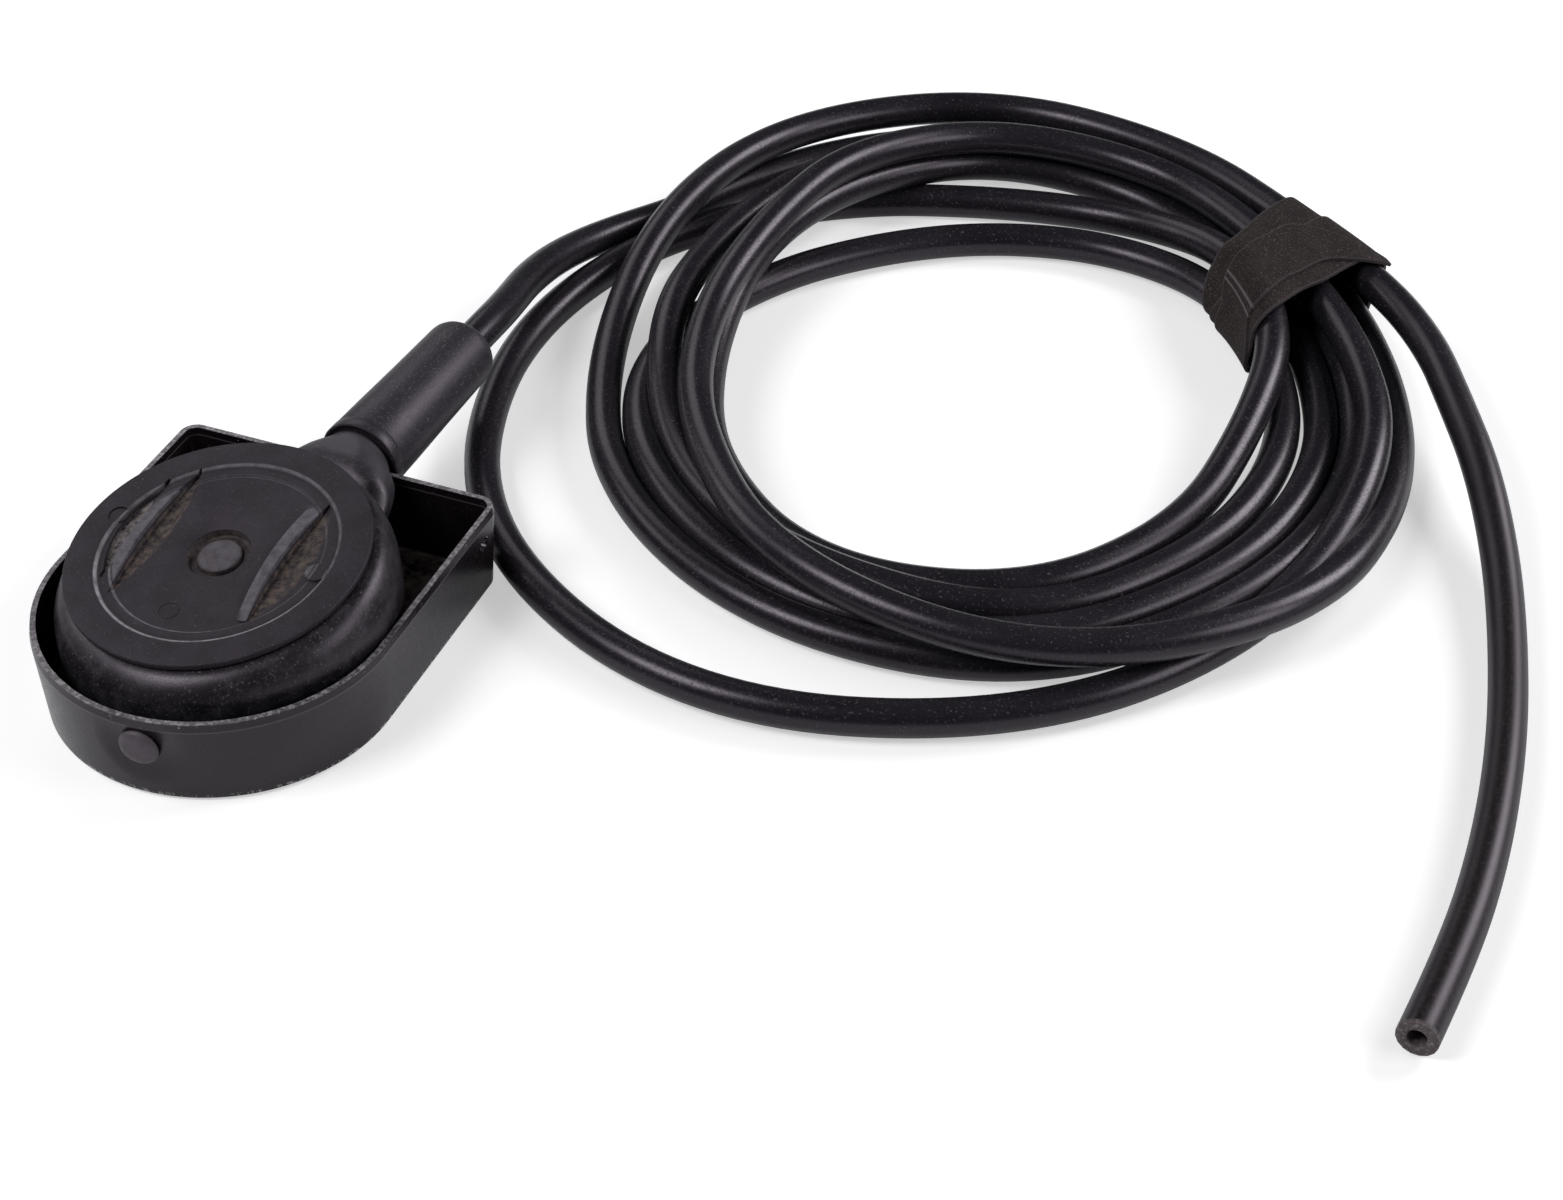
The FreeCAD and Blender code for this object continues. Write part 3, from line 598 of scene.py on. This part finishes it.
for rib in plateRibs:
    front, back = rib["ends"]
    hollow, ridge = [], []
    for k in range(ribSection["stations"] + 1):
        share = k / ribSection["stations"]
        y = front + (back - front) * share
        foot, crest, far = (bowed(rib[line], share) for line in ("foot", "crest", "far"))
        far = max(far, crest + ribSection["narrowest"])
        swell = math.sin(math.pi * share) ** 0.5
        deep = panel - max(ribSection["leastDepth"], rib["hollow"] * swell)
        wall = crest + ribSection["wall"]
        lap = ribSection["overlap"]
        hollow.append([(crest - lap, y, panel + above)]
                      + [(wall + (far - wall) * t, y, deep + (panel - deep) * t ** ribSection["runOut"])
                         for t in (0, 0.2, 0.4, 0.6, 0.8, 1)]
                      + [(far + lap / 2, y, panel + above)])
        high = panel + rib["rise"] * max(ribSection["leastRise"], swell)
        ridge.append([(foot - lap, y, panel - 0.5), (foot - lap, y, panel),
                      (foot + ribSection["slope"], y, high - ribSection["edge"]),
                      (crest - ribSection["top"], y, high),
                      (crest + 0.05, y, high - 0.08), (crest + 0.3, y, panel - 1.5)])
    cut(plate, skin("hollow", hollow))
    unite(plate, skin("ridge", ridge))
# one more hollow, outside the left rib
front, back = sideHollow["ends"]
ribFront, ribBack = plateRibs[0]["ends"]
hollow = []
for k in range(ribSection["stations"] + 1):
    share = k / ribSection["stations"]
    y = front + (back - front) * share
    foot = bowed(plateRibs[0]["foot"], (y - ribFront) / (ribBack - ribFront)) - 0.02
    outer = min(bowed(sideHollow["outer"], share), foot - sideHollow["narrowest"])
    deep = panel - max(sideHollow["leastDepth"], sideHollow["depth"] * math.sin(math.pi * share) ** 0.5)
    hollow.append([(outer, y, panel + above), (outer, y, panel + 0.1), (outer + 0.3, y, deep + 0.1),
                   (outer + 0.6, y, deep), (foot, y, deep), (foot, y, panel + above)])
cut(plate, skin("hollow", hollow))
for across, forward, radius, top in moulderMarks["spots"]:
    cut(plate, roundMark(across, forward, radius, top, above))
    unite(plate, roundMark(across, forward, radius - moulderMarks["gap"], top - moulderMarks["sunk"],
                           moulderMarks["disc"]))
addModifier(plate, 'BEVEL', {"width": 0.00008, "segments": 1, "limit_method": 'ANGLE',
                             "angle_limit": math.radians(40)})
place(plate, Matrix.Translation(plateMiddle) @ Matrix((plateRight, plateForward, plateNormal)).transposed().to_4x4())
smooth(plate, 30)

# hard moulded plastic with a fine dull grain, which spreads the light; shoes have rubbed its ribs paler, and the
# edges of its step carry painted highlights
platePlastic = finish("mattPlatePlastic", {
    "dark": "#221f24", "light": "#2c282e", "patch": 7, "grain": 0.25, "height": 0.05, "relief": 0.8,
    "roughness": (0.48, 0.66), "specular": 0.38, "dust": "#8a8480", "speck": 0.35, "few": 0.66, "dusty": 0.3,
})
# the plate's own across, height and reach, from its middle: dust lies in every hollow below the panel
tree = platePlastic.node_tree
spot = tree.nodes["where"].outputs["Object"]
fromMiddle = addNode(tree, 'VectorMath', {"operation": 'SUBTRACT', 1: tuple(plateMiddle)}, {0: spot})
plateHigh, plateAcross, plateAlong = (
    addNode(tree, 'VectorMath', {"operation": 'DOT_PRODUCT', 1: tuple(way)}, {0: fromMiddle}).outputs["Value"]
    for way in (plateNormal, plateRight, plateForward))
plateOut = addNode(tree, 'VectorMath', {"operation": 'LENGTH'}, {0: fromMiddle}).outputs["Value"]
mask = addNode(tree, 'MapRange', {"From Min": -0.00096, "From Max": -0.0014}, {"Value": plateHigh})
# outside the boss, inside the step, within the panel, and on the boss
outside, inside, within, boss = (
    addNode(tree, 'MapRange', {"From Min": near, "From Max": far, "To Min": least}, {"Value": plateOut})
    for near, far, least in ((0.0062, 0.0075, 0.55), (0.0236, 0.0230, 0), (0.0212, 0.0208, 0), (0.0047, 0.0042, 0)))
clumps = addNode(tree, 'TexNoise', {"Scale": 1000 / 1.7, "Detail": 8.0, "Roughness": 0.75}, {"Vector": spot})
thick = addNode(tree, 'MapRange', {"From Min": 0.42, "From Max": 0.6, "To Max": 0.85}, {"Value": clumps})
for part in (thick, outside, inside):
    mask = addNode(tree, 'Math', {"operation": 'MULTIPLY'}, {0: mask, 1: part})
layer(platePlastic, mask, "#665b53", 0.9)
# whitish dust beside the left rib, where nobody's shoe reaches
left = addNode(tree, 'MapRange', {"From Min": -0.0176, "From Max": -0.0184, "To Max": 0.75}, {"Value": plateAcross})
mask = addNode(tree, 'Math', {"operation": 'MULTIPLY'}, {0: mask, 1: left})
layer(platePlastic, mask, "#a39c9c", 0.9)
# ribs rubbed pale and a little shiny
mask = addNode(tree, 'MapRange', {"From Min": -0.00086, "From Max": -0.0006}, {"Value": plateHigh})
scuffs = addNode(tree, 'TexNoise', {"Scale": 1000 / 2.2, "Detail": 6.0, "Roughness": 0.7}, {"Vector": spot})
rubbed = addNode(tree, 'MapRange', {"From Min": 0.36, "From Max": 0.6, "To Min": 0.35, "To Max": 0.9},
                 {"Value": scuffs})
for part in (within, rubbed):
    mask = addNode(tree, 'Math', {"operation": 'MULTIPLY'}, {0: mask, 1: part})
layer(platePlastic, mask, "#66636a", 0.48)
# painted highlights on the step's two edges, painted shade in the corner at the step's foot and in the dimple round
# the boss: a ring's two radii, strength and tint
paintedStepLightAndShade = [
    (0.0239, 0.0248, 1.0, "#a29ea4"), (0.0212, 0.0219, 0.9, "#807c82"), (0.0045, 0.0066, 0.75, "#17151a"),
    (0.0230, 0.0238, 0.8, "#151317"),
]
# the painted highlights and shade are strongest on the plate's front half and broken up by the scuff noise
inFront = addNode(tree, 'MapRange', {"From Min": 0.004, "From Max": -0.012, "To Min": 0.35}, {"Value": plateAlong})
for start, stop, strength, tint in paintedStepLightAndShade:
    half = (stop - start) / 2
    away = addNode(tree, 'Math', {"operation": 'SUBTRACT', 1: start + half}, {0: plateOut})
    size = addNode(tree, 'Math', {"operation": 'ABSOLUTE'}, {0: away})
    mask = addNode(tree, 'MapRange', {"From Min": half, "From Max": half * 0.4, "To Max": strength}, {"Value": size})
    for part in (rubbed, inFront):
        mask = addNode(tree, 'Math', {"operation": 'MULTIPLY'}, {0: mask, 1: part})
    layer(platePlastic, mask, tint, 0.45)
# the boss in the middle is rubbed too
mask = addNode(tree, 'Math', {"operation": 'MULTIPLY'}, {0: boss, 1: rubbed})
layer(platePlastic, mask, "#57545b", 0.55)
dress(plate, platePlastic)
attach(plate, "plate")
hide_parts("foot_plate")
print("foot plate ready")

# plug in the pan's leaning front wall, a little right of its middle; millimetres, degrees, and radius with height
plugShape = {
    "turn": 5, "wallLean": 3, "wallAtFloor": 36, "height": 13.5,
    "profile": [(0, -2.9), (3.5, -2.9), (3.5, -1.8), (2.8, -1.7), (2.8, 0.0), (3.95, 0.0), (4.1, 0.2), (4.05, 0.6),
                (3.7, 1.05), (3.0, 1.35), (1.9, 1.48), (0, 1.5)],
    "steps": 64,
}
plugTurn = math.radians(plugShape["turn"])
wallLean = math.radians(plugShape["wallLean"])
plugOut = Vector((math.sin(plugTurn) * math.cos(wallLean), -math.cos(plugTurn) * math.cos(wallLean),
                  -math.sin(wallLean)))
wallAt = plugShape["wallAtFloor"] + math.tan(wallLean) * plugShape["height"]
plugSpot = Vector((math.sin(plugTurn) * wallAt, -math.cos(plugTurn) * wallAt, plugShape["height"])) * mm
plug = lathe("frontPlug", plugShape["profile"], plugSpot, plugOut, plugShape["steps"])
smooth(plug, 50)

# grey rubber that has taken in dust: paler and duller than the pan round it
plugRubber = finish("dustyPlugRubber", {
    "dark": "#484348", "light": "#544e53", "patch": 2.5, "grain": 0.3, "height": 0.02, "relief": 0.5,
    "roughness": (0.45, 0.6), "dust": "#7d7778", "speck": 0.5, "few": 0.62, "dusty": 0.3,
})
dress(plug, plugRubber)
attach(plug, "base")
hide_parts("front_plug")

# pan: black stoved enamel with sharp reflections, worn through to bright steel along the rim and the lower edge
panEnamel = finish("glossyBlackEnamel", {
    "dark": "#110e11", "light": "#1b1719", "patch": 12, "grain": 1.6, "height": 0.01, "relief": 0.2,
    "roughness": (0.22, 0.3), "dust": "#5f585a", "speck": 0.4, "few": 0.68, "dusty": 0.35,
})
# metres: heights between which each wear sets in, the height of the painted highlight along the crease, the burred
# hole at the back right, and the dish round the plug
panWearAndHighlight = {
    "rimTop": (0.01982, 0.01998), "rimBand": (0.0181, 0.0184), "lowEdge": (0.0018, 0.0012), "floor": (0.0026, 0.002),
    "paintedCreaseHighlight": 0.0182, "hole": (0.0368, 0.0427, 0.014), "floorRadius": 0.0345,
    "dish": (0.003, 0.0105), "dishDepth": 0.0010,
}
tree = panEnamel.node_tree
spot = tree.nodes["where"].outputs["Object"]
split = addNode(tree, 'SeparateXYZ', {}, {0: spot})
height = split.outputs["Z"]
rimTop, rimBand, lowEdge, floorDust = (
    addNode(tree, 'MapRange', {"From Min": panWearAndHighlight[kind][0], "From Max": panWearAndHighlight[kind][1]}, {"Value": height})
    for kind in ("rimTop", "rimBand", "lowEdge", "floor"))
chips = addNode(tree, 'TexNoise', {"Scale": 1000 / 1.1, "Detail": 5.0, "Roughness": 0.7}, {"Vector": spot})
chipped, scraped, worn, bare = (
    addNode(tree, 'MapRange', {"From Min": rare, "From Max": full, "To Min": least, "To Max": most}, {"Value": chips})
    for rare, full, least, most in ((0.66, 0.69, 0, 1), (0.54, 0.58, 0, 0.8), (0.46, 0.6, 0.2, 0.8),
                                    (0.56, 0.6, 0, 1)))
# painted highlight: a pale line along the crease under the rim, where light catches the fold
fromCrease = addNode(tree, 'Math', {"operation": 'SUBTRACT', 1: panWearAndHighlight["paintedCreaseHighlight"]}, {0: height})
creaseSize = addNode(tree, 'Math', {"operation": 'ABSOLUTE'}, {0: fromCrease})
paintedCreaseHighlight = addNode(tree, 'MapRange', {"From Min": 0.00022, "From Max": 0.0001, "To Max": 0.6}, {"Value": creaseSize})
fromHole = addNode(tree, 'VectorMath', {"operation": 'DISTANCE', 1: panWearAndHighlight["hole"]}, {0: spot})
burr = addNode(tree, 'MapRange', {"From Min": 0.0019, "From Max": 0.0016}, {"Value": fromHole.outputs["Value"]})
# grey brown dust settles on the pan's floor, inside the wall
cloud = addNode(tree, 'TexNoise', {"Scale": 1000 / 5.0, "Detail": 5.0, "Roughness": 0.7}, {"Vector": spot})
lies = addNode(tree, 'MapRange', {"From Min": 0.38, "From Max": 0.6, "To Max": 0.9}, {"Value": cloud})
inside = addNode(tree, 'VectorMath', {"operation": 'MINIMUM', 1: (1, 0, 0)}, {0: spot})
inside = addNode(tree, 'VectorMath', {"operation": 'LENGTH'}, {0: inside})
inside = addNode(tree, 'Math', {"operation": 'LESS_THAN', 1: panWearAndHighlight["floorRadius"]}, {0: inside.outputs["Value"]})
rimWear, lowWear, rubbed, struck, settled = (
    addNode(tree, 'Math', {"operation": 'MULTIPLY'}, {0: a, 1: b})
    for a, b in ((chipped, rimBand), (scraped, lowEdge), (rimTop, worn), (burr, bare), (floorDust, lies)))
edges = addNode(tree, 'Math', {"operation": 'MAXIMUM'}, {0: rimWear, 1: lowWear})
settled = addNode(tree, 'Math', {"operation": 'MULTIPLY'}, {0: settled, 1: inside})
for wearAndHighlight, tint, roughness in ((struck, "#a8a4a8", 0.3), (paintedCreaseHighlight, "#5b575c", 0.3), (rubbed, "#9a969b", 0.28),
                              (edges, "#b9b5ba", 0.35), (settled, "#94847c", 0.85)):
    layer(panEnamel, wearAndHighlight, tint, roughness)
# the wall is a little dished round the plug
fromPlug = addNode(tree, 'VectorMath', {"operation": 'DISTANCE', 1: tuple(plugSpot)}, {0: spot})
dishFrom, dishTo = panWearAndHighlight["dish"]
dish = addNode(tree, 'MapRange', {"interpolation_type": 'SMOOTHSTEP', "From Min": dishFrom, "From Max": dishTo},
               {"Value": fromPlug.outputs["Value"]})
hollow = addNode(tree, 'Bump', {"Strength": 1.0, "Distance": panWearAndHighlight["dishDepth"]}, {"Height": dish})
tree.links.new(hollow.outputs[0], tree.nodes["relief"].inputs["Normal"])
dress(bpy.data.objects["pan"], panEnamel)

# thin sheet of rubber that grips the floor: no shine at all
padRubber = finish("mattPadRubber", {
    "dark": "#242326", "light": "#2e2c30", "patch": 8, "grain": 0.4, "height": 0.04, "roughness": (0.7, 0.85),
    "dust": "#777170", "speck": 0.5, "few": 0.6, "dusty": 0.5,
})
dress(bpy.data.objects["base_pad"], padRubber)

# natural nylon: milky white, waxy
seatNylon = finish("naturalNylon", {
    "dark": "#bdbcb2", "light": "#cbcabf", "patch": 5, "grain": 0.3, "height": 0.01, "roughness": (0.4, 0.55),
    "dust": "#8f8a80", "speck": 0.5, "few": 0.64, "dusty": 0.4,
})
for seatName in ("lower_spring_seat", "upper_spring_seat"):
    dress(bpy.data.objects[seatName], seatNylon)

# drawn spring wire: grey metal with thin bright lines along the coils
springSteel = finish("greySpringWire", {
    "dark": "#8f8f92", "light": "#a5a5a8", "patch": 4, "grain": 0.15, "height": 0.01, "roughness": (0.28, 0.4),
    "metallic": 1.0, "dust": "#6f6156", "speck": 0.6, "few": 0.62, "dusty": 0.4,
})
# return spring of round wire between the two seats, in millimetres
returnSpring = {
    "middle": (-0.3, 3.9), "radius": 10.0, "wire": 1.4, "foot": 5.2, "head": 22.43, "turns": 4, "travel": 8.0,
    "stepsPerTurn": 24, "flatEnd": 0.06,        # the share of the wire that lies flat on each seat
}
springFoot = returnSpring["foot"] + returnSpring["wire"] / 2
springHead = returnSpring["head"] - returnSpring["wire"] / 2
springSteps = returnSpring["stepsPerTurn"] * returnSpring["turns"]
spots = []
for step in range(springSteps + 1):
    share = step / springSteps
    angle = 2 * math.pi * returnSpring["turns"] * share
    climbed = max(0.0, min(1.0, (share - returnSpring["flatEnd"]) / (1 - 2 * returnSpring["flatEnd"])))
    height = springFoot + (springHead - springFoot) * climbed
    spots.append(Vector((returnSpring["middle"][0] + returnSpring["radius"] * math.cos(angle),
                         returnSpring["middle"][1] + returnSpring["radius"] * math.sin(angle), height)) * mm)
spring = roundWire(curveThrough("returnSpring", spots), returnSpring["wire"] / 2 * mm, 3)
smooth(spring, 50)
dress(spring, springSteel)
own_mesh(spring)
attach(spring, "base")
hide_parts("return_spring")

# turned brass, yellow metal with fine dust in the barbs
turnedBrass = finish("turnedBrass", {
    "dark": "#c7a560", "light": "#d8b873", "patch": 3, "grain": 0.12, "height": 0.01, "roughness": (0.25, 0.38),
    "metallic": 1.0, "dust": "#8a6f3e", "speck": 0.5, "few": 0.6, "dusty": 0.5,
})
dress(bpy.data.objects["hose_nipple"], turnedBrass)
print("pan and small parts dressed")

# strap of hook and loop tape, wound twice and a bit round the hose where it really lies; millimetres
strap = {
    "width": 20.0, "thickness": 0.7, "clear": 0.05, "between": 0.05, "floorGap": 0.02,
    # in turns: the wound part, where the flap leaves the bundle, its tip, and its lap with the wound part
    "turns": 2.0, "free": 2.43, "end": 2.52, "lap": 0.02, "secondLayer": 0.1,
    "aroundTurn": 120, "across": 12, "mapPerTurn": 100,
    # turns made so far, and how far along the hose the tape's middle lies there
    "drift": [
        (0, 12), (0.12, 8.5), (0.45, -0.5), (0.6, 1), (1.0, 15), (1.12, 18), (1.3, 14), (1.45, 11.5), (1.6, 10.5),
        (1.9, 15), (2.06, 17.5), (2.14, 14.5), (2.25, 11), (2.35, 9.5), (2.49, 14),
    ],
    "reachBack": -14, "reachFront": 31,
    # the slanting cut: where it starts, half the width before it, how far each edge moves, and how late
    "cutFrom": 2.32, "cutHalf": 8.5, "cutBack": (16.4, 1.8), "cutFront": (2.0, 2), "droop": 3,
}


def strandsAt(along):
    # where the hose crosses a plane across the bundle: reach and height in millimetres
    found = []
    for a, b in zip(hosePath, hosePath[1:]):
        first = (a - coilMiddle).dot(strapForward) - along * mm
        second = (b - coilMiddle).dot(strapForward) - along * mm
        if first < 0 <= second and (a - coilMiddle).dot(strapOut) > 0:
            spot = a.lerp(b, first / (first - second))
            found.append(((spot - coilMiddle).dot(strapOut) / mm, spot.z / mm))
    return found


def tightLine(spots, radius):
    # the line of a band pulled tight round circles, counter clockwise; each circle has 32 corners
    points = []
    for x, z in spots:
        for k in range(32):
            angle = k * math.pi / 16
            points.append((x + radius * math.cos(angle), z + radius * math.sin(angle)))
    points.sort()
    sides = []
    for run in (points, points[::-1]):
        side = []
        for p in run:
            while len(side) > 1 and ((side[-1][0] - side[-2][0]) * (p[1] - side[-2][1])
                                     - (side[-1][1] - side[-2][1]) * (p[0] - side[-2][0])) <= 0:
                side.pop()
            side.append(p)
        sides += side[:-1]
    return sides


def evenly(line, count, start):
    # the closed line in equal steps, from the point nearest to start
    nearest = min(range(len(line)), key=lambda i: (line[i][0] - start[0]) ** 2 + (line[i][1] - start[1]) ** 2)
    line = line[nearest:] + line[:nearest + 1]
    lengths = [0.0]
    for a, b in zip(line, line[1:]):
        lengths.append(lengths[-1] + math.dist(a, b))
    steps = []
    k = 0
    for i in range(count):
        want = lengths[-1] * i / count
        while lengths[k + 1] < want:
            k += 1
        t = (want - lengths[k]) / (lengths[k + 1] - lengths[k])
        steps.append((line[k][0] + t * (line[k + 1][0] - line[k][0]), line[k][1] + t * (line[k + 1][1] - line[k][1])))
    return steps


# the bundle's outline at every millimetre, clockwise from its low inner corner: up, over the top and down
outlines = {}
for along in range(strap["reachBack"], strap["reachFront"] + 1):
    spots = strandsAt(along)
    line = tightLine(spots, airHose["radius"] / mm + strap["clear"])[::-1]
    outlines[along] = evenly(line, strap["aroundTurn"], (min(x for x, z in spots) - 5, 0))


def between(knots, value):
    # eased from knot to knot
    for (a, low), (b, high) in zip(knots, knots[1:]):
        if value <= b:
            t = max(0.0, (value - a) / (b - a))
            return low + (high - low) * t * t * (3 - 2 * t)
    return knots[-1][1]


def onBundle(turn, along, lift):
    # a point on the bundle's outline, pushed outward; the loose end goes straight on past it and droops
    loose = max(0.0, turn - strap["free"])
    turn -= loose
    along = max(strap["reachBack"], min(strap["reachFront"] - 0.001, along))
    row = math.floor(along)
    spots = []
    for step in (-2, 0, 2):
        at = (turn % 1.0) * strap["aroundTurn"] + step
        k, t = math.floor(at), at - math.floor(at)
        corners = []
        for outline in (outlines[row], outlines[row + 1]):
            a, b = outline[k % len(outline)], outline[(k + 1) % len(outline)]
            corners.append(Vector(a).lerp(Vector(b), t))
        spots.append(corners[0].lerp(corners[1], along - row))
    ahead = (spots[2] - spots[0]).normalized()
    spot = spots[1] + Vector((-ahead.y, ahead.x)) * lift
    girth = math.dist(outlines[row][0], outlines[row][1]) * strap["aroundTurn"]
    spot += ahead * loose * girth - Vector((0, strap["droop"])) * loose ** 2 * girth
    # under the bundle, the first turn lies on the second
    layers = max(1, min(2, 2 - math.floor(turn - strap["secondLayer"])))
    return spot.x, max(spot.y, strap["floorGap"] + strap["thickness"] * layers)


def tape(name, first, last, limits):
    # a cloth grid along the winding, later given its thickness; its own map is in millimetres
    steps = round((last - first) * strap["aroundTurn"])
    corners, places = [], []
    for step in range(steps + 1):
        turn = first + (last - first) * step / steps
        lift = (strap["thickness"] + strap["between"]) * turn
        back, front = limits(turn)
        for k in range(strap["across"] + 1):
            side = back + (front - back) * k / strap["across"]
            along = between(strap["drift"], turn) + side
            reach, height = onBundle(turn, along, lift)
            corners.append(atStrap(reach, height, along))
            places.append((turn * strap["mapPerTurn"], strap["width"] * (k / strap["across"] - 0.5)))
    count = strap["across"] + 1
    faces = [(r * count + i, r * count + i + 1, (r + 1) * count + i + 1, (r + 1) * count + i)
             for r in range(steps) for i in range(count - 1)]
    obj = meshObject(name, corners, faces)
    weave = obj.data.uv_layers.new(name="weave")
    for corner, loop in enumerate(obj.data.loops):
        weave.data[corner].uv = places[loop.vertex_index]
    addModifier(obj, 'SUBSURF', {"levels": 1})
    top = max(obj.data.polygons, key=lambda f: f.center.z)
    outward = 1.0 if top.normal.z > 0 else -1.0
    addModifier(obj, 'SOLIDIFY', {"thickness": strap["thickness"] * mm, "offset": outward})
    faceOutward(obj)
    smooth(obj, 50)
    return obj


def fullWidth(turn):
    return -strap["width"] / 2, strap["width"] / 2


def cutEnd(turn):
    # the loose end is cut on a slant, so that it ends in a point on the near side
    done = max(0.0, (turn - strap["cutFrom"]) / (strap["end"] - strap["cutFrom"]))
    back, front = (far * done ** late for far, late in (strap["cutBack"], strap["cutFront"]))
    return back - strap["cutHalf"], front + strap["cutHalf"]


strapLoop = tape("strapLoop", 0.0, strap["turns"], fullWidth)
strapFlap = tape("strapFlap", strap["turns"] - strap["lap"], strap["end"], cutEnd)
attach(strapLoop, "base")
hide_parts("strap")
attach(strapFlap, "base")
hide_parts("strap_end")

# black woven tape with a brown cast: ribs of yarn, fuzz on top, paler edges and a double row of stitches
strapCloth = finish("wovenHookLoopTape", {
    "dark": "#231e1e", "light": "#2f2927", "patch": 5, "grain": 0.28, "height": 0.12, "relief": 0.9,
    "roughness": (0.75, 0.92), "specular": 0.25, "dust": "#756b66", "speck": 0.45, "few": 0.6, "dusty": 0.45,
})
tree = strapCloth.node_tree
weave = addNode(tree, 'UVMap', {"uv_map": "weave"})
ways = addNode(tree, 'SeparateXYZ', {}, {0: weave})
ribs = addNode(tree, 'TexWave', {"bands_direction": 'X', "Scale": 0.35, "Distortion": 0.6, "Detail": 2.0},
               {"Vector": weave})
yarn = addNode(tree, 'MapRange', {"From Min": 0.55, "From Max": 1.0, "To Max": 0.35}, {"Value": ribs.outputs["Fac"]})
layer(strapCloth, yarn, "#39342f", 0.85)
fromMiddle = addNode(tree, 'Math', {"operation": 'ABSOLUTE'}, {0: ways.outputs[1]})
selvedge = addNode(tree, 'MapRange', {"From Min": 9.35, "From Max": 9.85, "To Max": 0.4}, {"Value": fromMiddle})
layer(strapCloth, selvedge, "#5d575a", 0.8)
for seam in (213.0, 214.6):     # along the tape, as on its own map
    away = addNode(tree, 'Math', {"operation": 'SUBTRACT', 1: seam}, {0: ways})
    size = addNode(tree, 'Math', {"operation": 'ABSOLUTE'}, {0: away})
    thread = addNode(tree, 'MapRange', {"From Min": 0.32, "From Max": 0.18, "To Max": 0.7}, {"Value": size})
    layer(strapCloth, thread, "#6c6768", 0.7)
for cloth in (strapLoop, strapFlap):
    dress(cloth, strapCloth)
print("strap ready")

# table, room and lamps, all round the middle of the picture; metres and watts
stageMiddle = (0.1, 0.1, 0)
tableSize = 6
lampSize = 0.4
bpy.ops.mesh.primitive_plane_add(size=tableSize, location=stageMiddle)
floor = bpy.context.object
floor.name = "floor"
settle(floor)

# matt white board, with enough of its own white for the camera that the paper ground of the photograph shows
floorMaterial = bpy.data.materials.new("whiteTable")
floorMaterial.use_nodes = True
tree = floorMaterial.node_tree
tree.nodes.clear()
seen = addNode(tree, 'LightPath')
mirrored = addNode(tree, 'Math', {"operation": 'MULTIPLY', 1: 0.35}, {0: seen.outputs["Is Glossy Ray"]})
either = addNode(tree, 'Math', {"operation": 'MAXIMUM'}, {0: seen.outputs["Is Camera Ray"], 1: mirrored})
shown = addNode(tree, 'Math', {"operation": 'MAXIMUM'}, {0: either, 1: seen.outputs["Is Transmission Ray"]})
white = addNode(tree, 'BsdfDiffuse', {"Color": linear("#e4e4e6")})
glow = addNode(tree, 'Emission', {"Color": linear("#ffffff"), "Strength": 0.5})
both = addNode(tree, 'AddShader', {}, {0: white, 1: glow})
mix = addNode(tree, 'MixShader', {}, {0: shown, 1: white, 2: both})
addNode(tree, 'OutputMaterial', {}, {"Surface": mix})
floor.data.materials.append(floorMaterial)

world = bpy.data.worlds.new("softRoom")
bpy.context.scene.world = world
world.use_nodes = True
tree = world.node_tree
tree.nodes.clear()
seen = addNode(tree, 'LightPath')
room = addNode(tree, 'Background', {"Color": linear("#f6f8ff"), "Strength": 0.05})
ground = addNode(tree, 'Background', {"Color": linear("#ffffff"), "Strength": 1.0})
mix = addNode(tree, 'MixShader', {}, {0: seen.outputs["Is Camera Ray"], 1: room, 2: ground})
addNode(tree, 'OutputWorld', {}, {"Surface": mix})

lamps = {
    "frontLeft": {"place": (-0.35, -0.35, 0.7), "power": 4.0},
    "leftSide": {"place": (-0.75, 0.1, 0.4), "power": 1.0},
    "leftBack": {"place": (-0.45, 0.6, 0.5), "power": 0.7},
    "rightSide": {"place": (0.9, 0.1, 0.45), "power": 2.0},
    "rightBack": {"place": (0.65, 0.65, 0.5), "power": 4.0},
}
for name, lamp in lamps.items():
    bpy.ops.object.light_add(type='AREA', location=lamp["place"])
    light = bpy.context.object
    light.name = name
    light.data.size = lampSize
    light.data.energy = lamp["power"]
    light.rotation_euler = (Vector(stageMiddle) - Vector(lamp["place"])).to_track_quat('-Z', 'Y').to_euler()

bpy.context.scene.view_settings.view_transform = 'Standard'
print("stage ready")
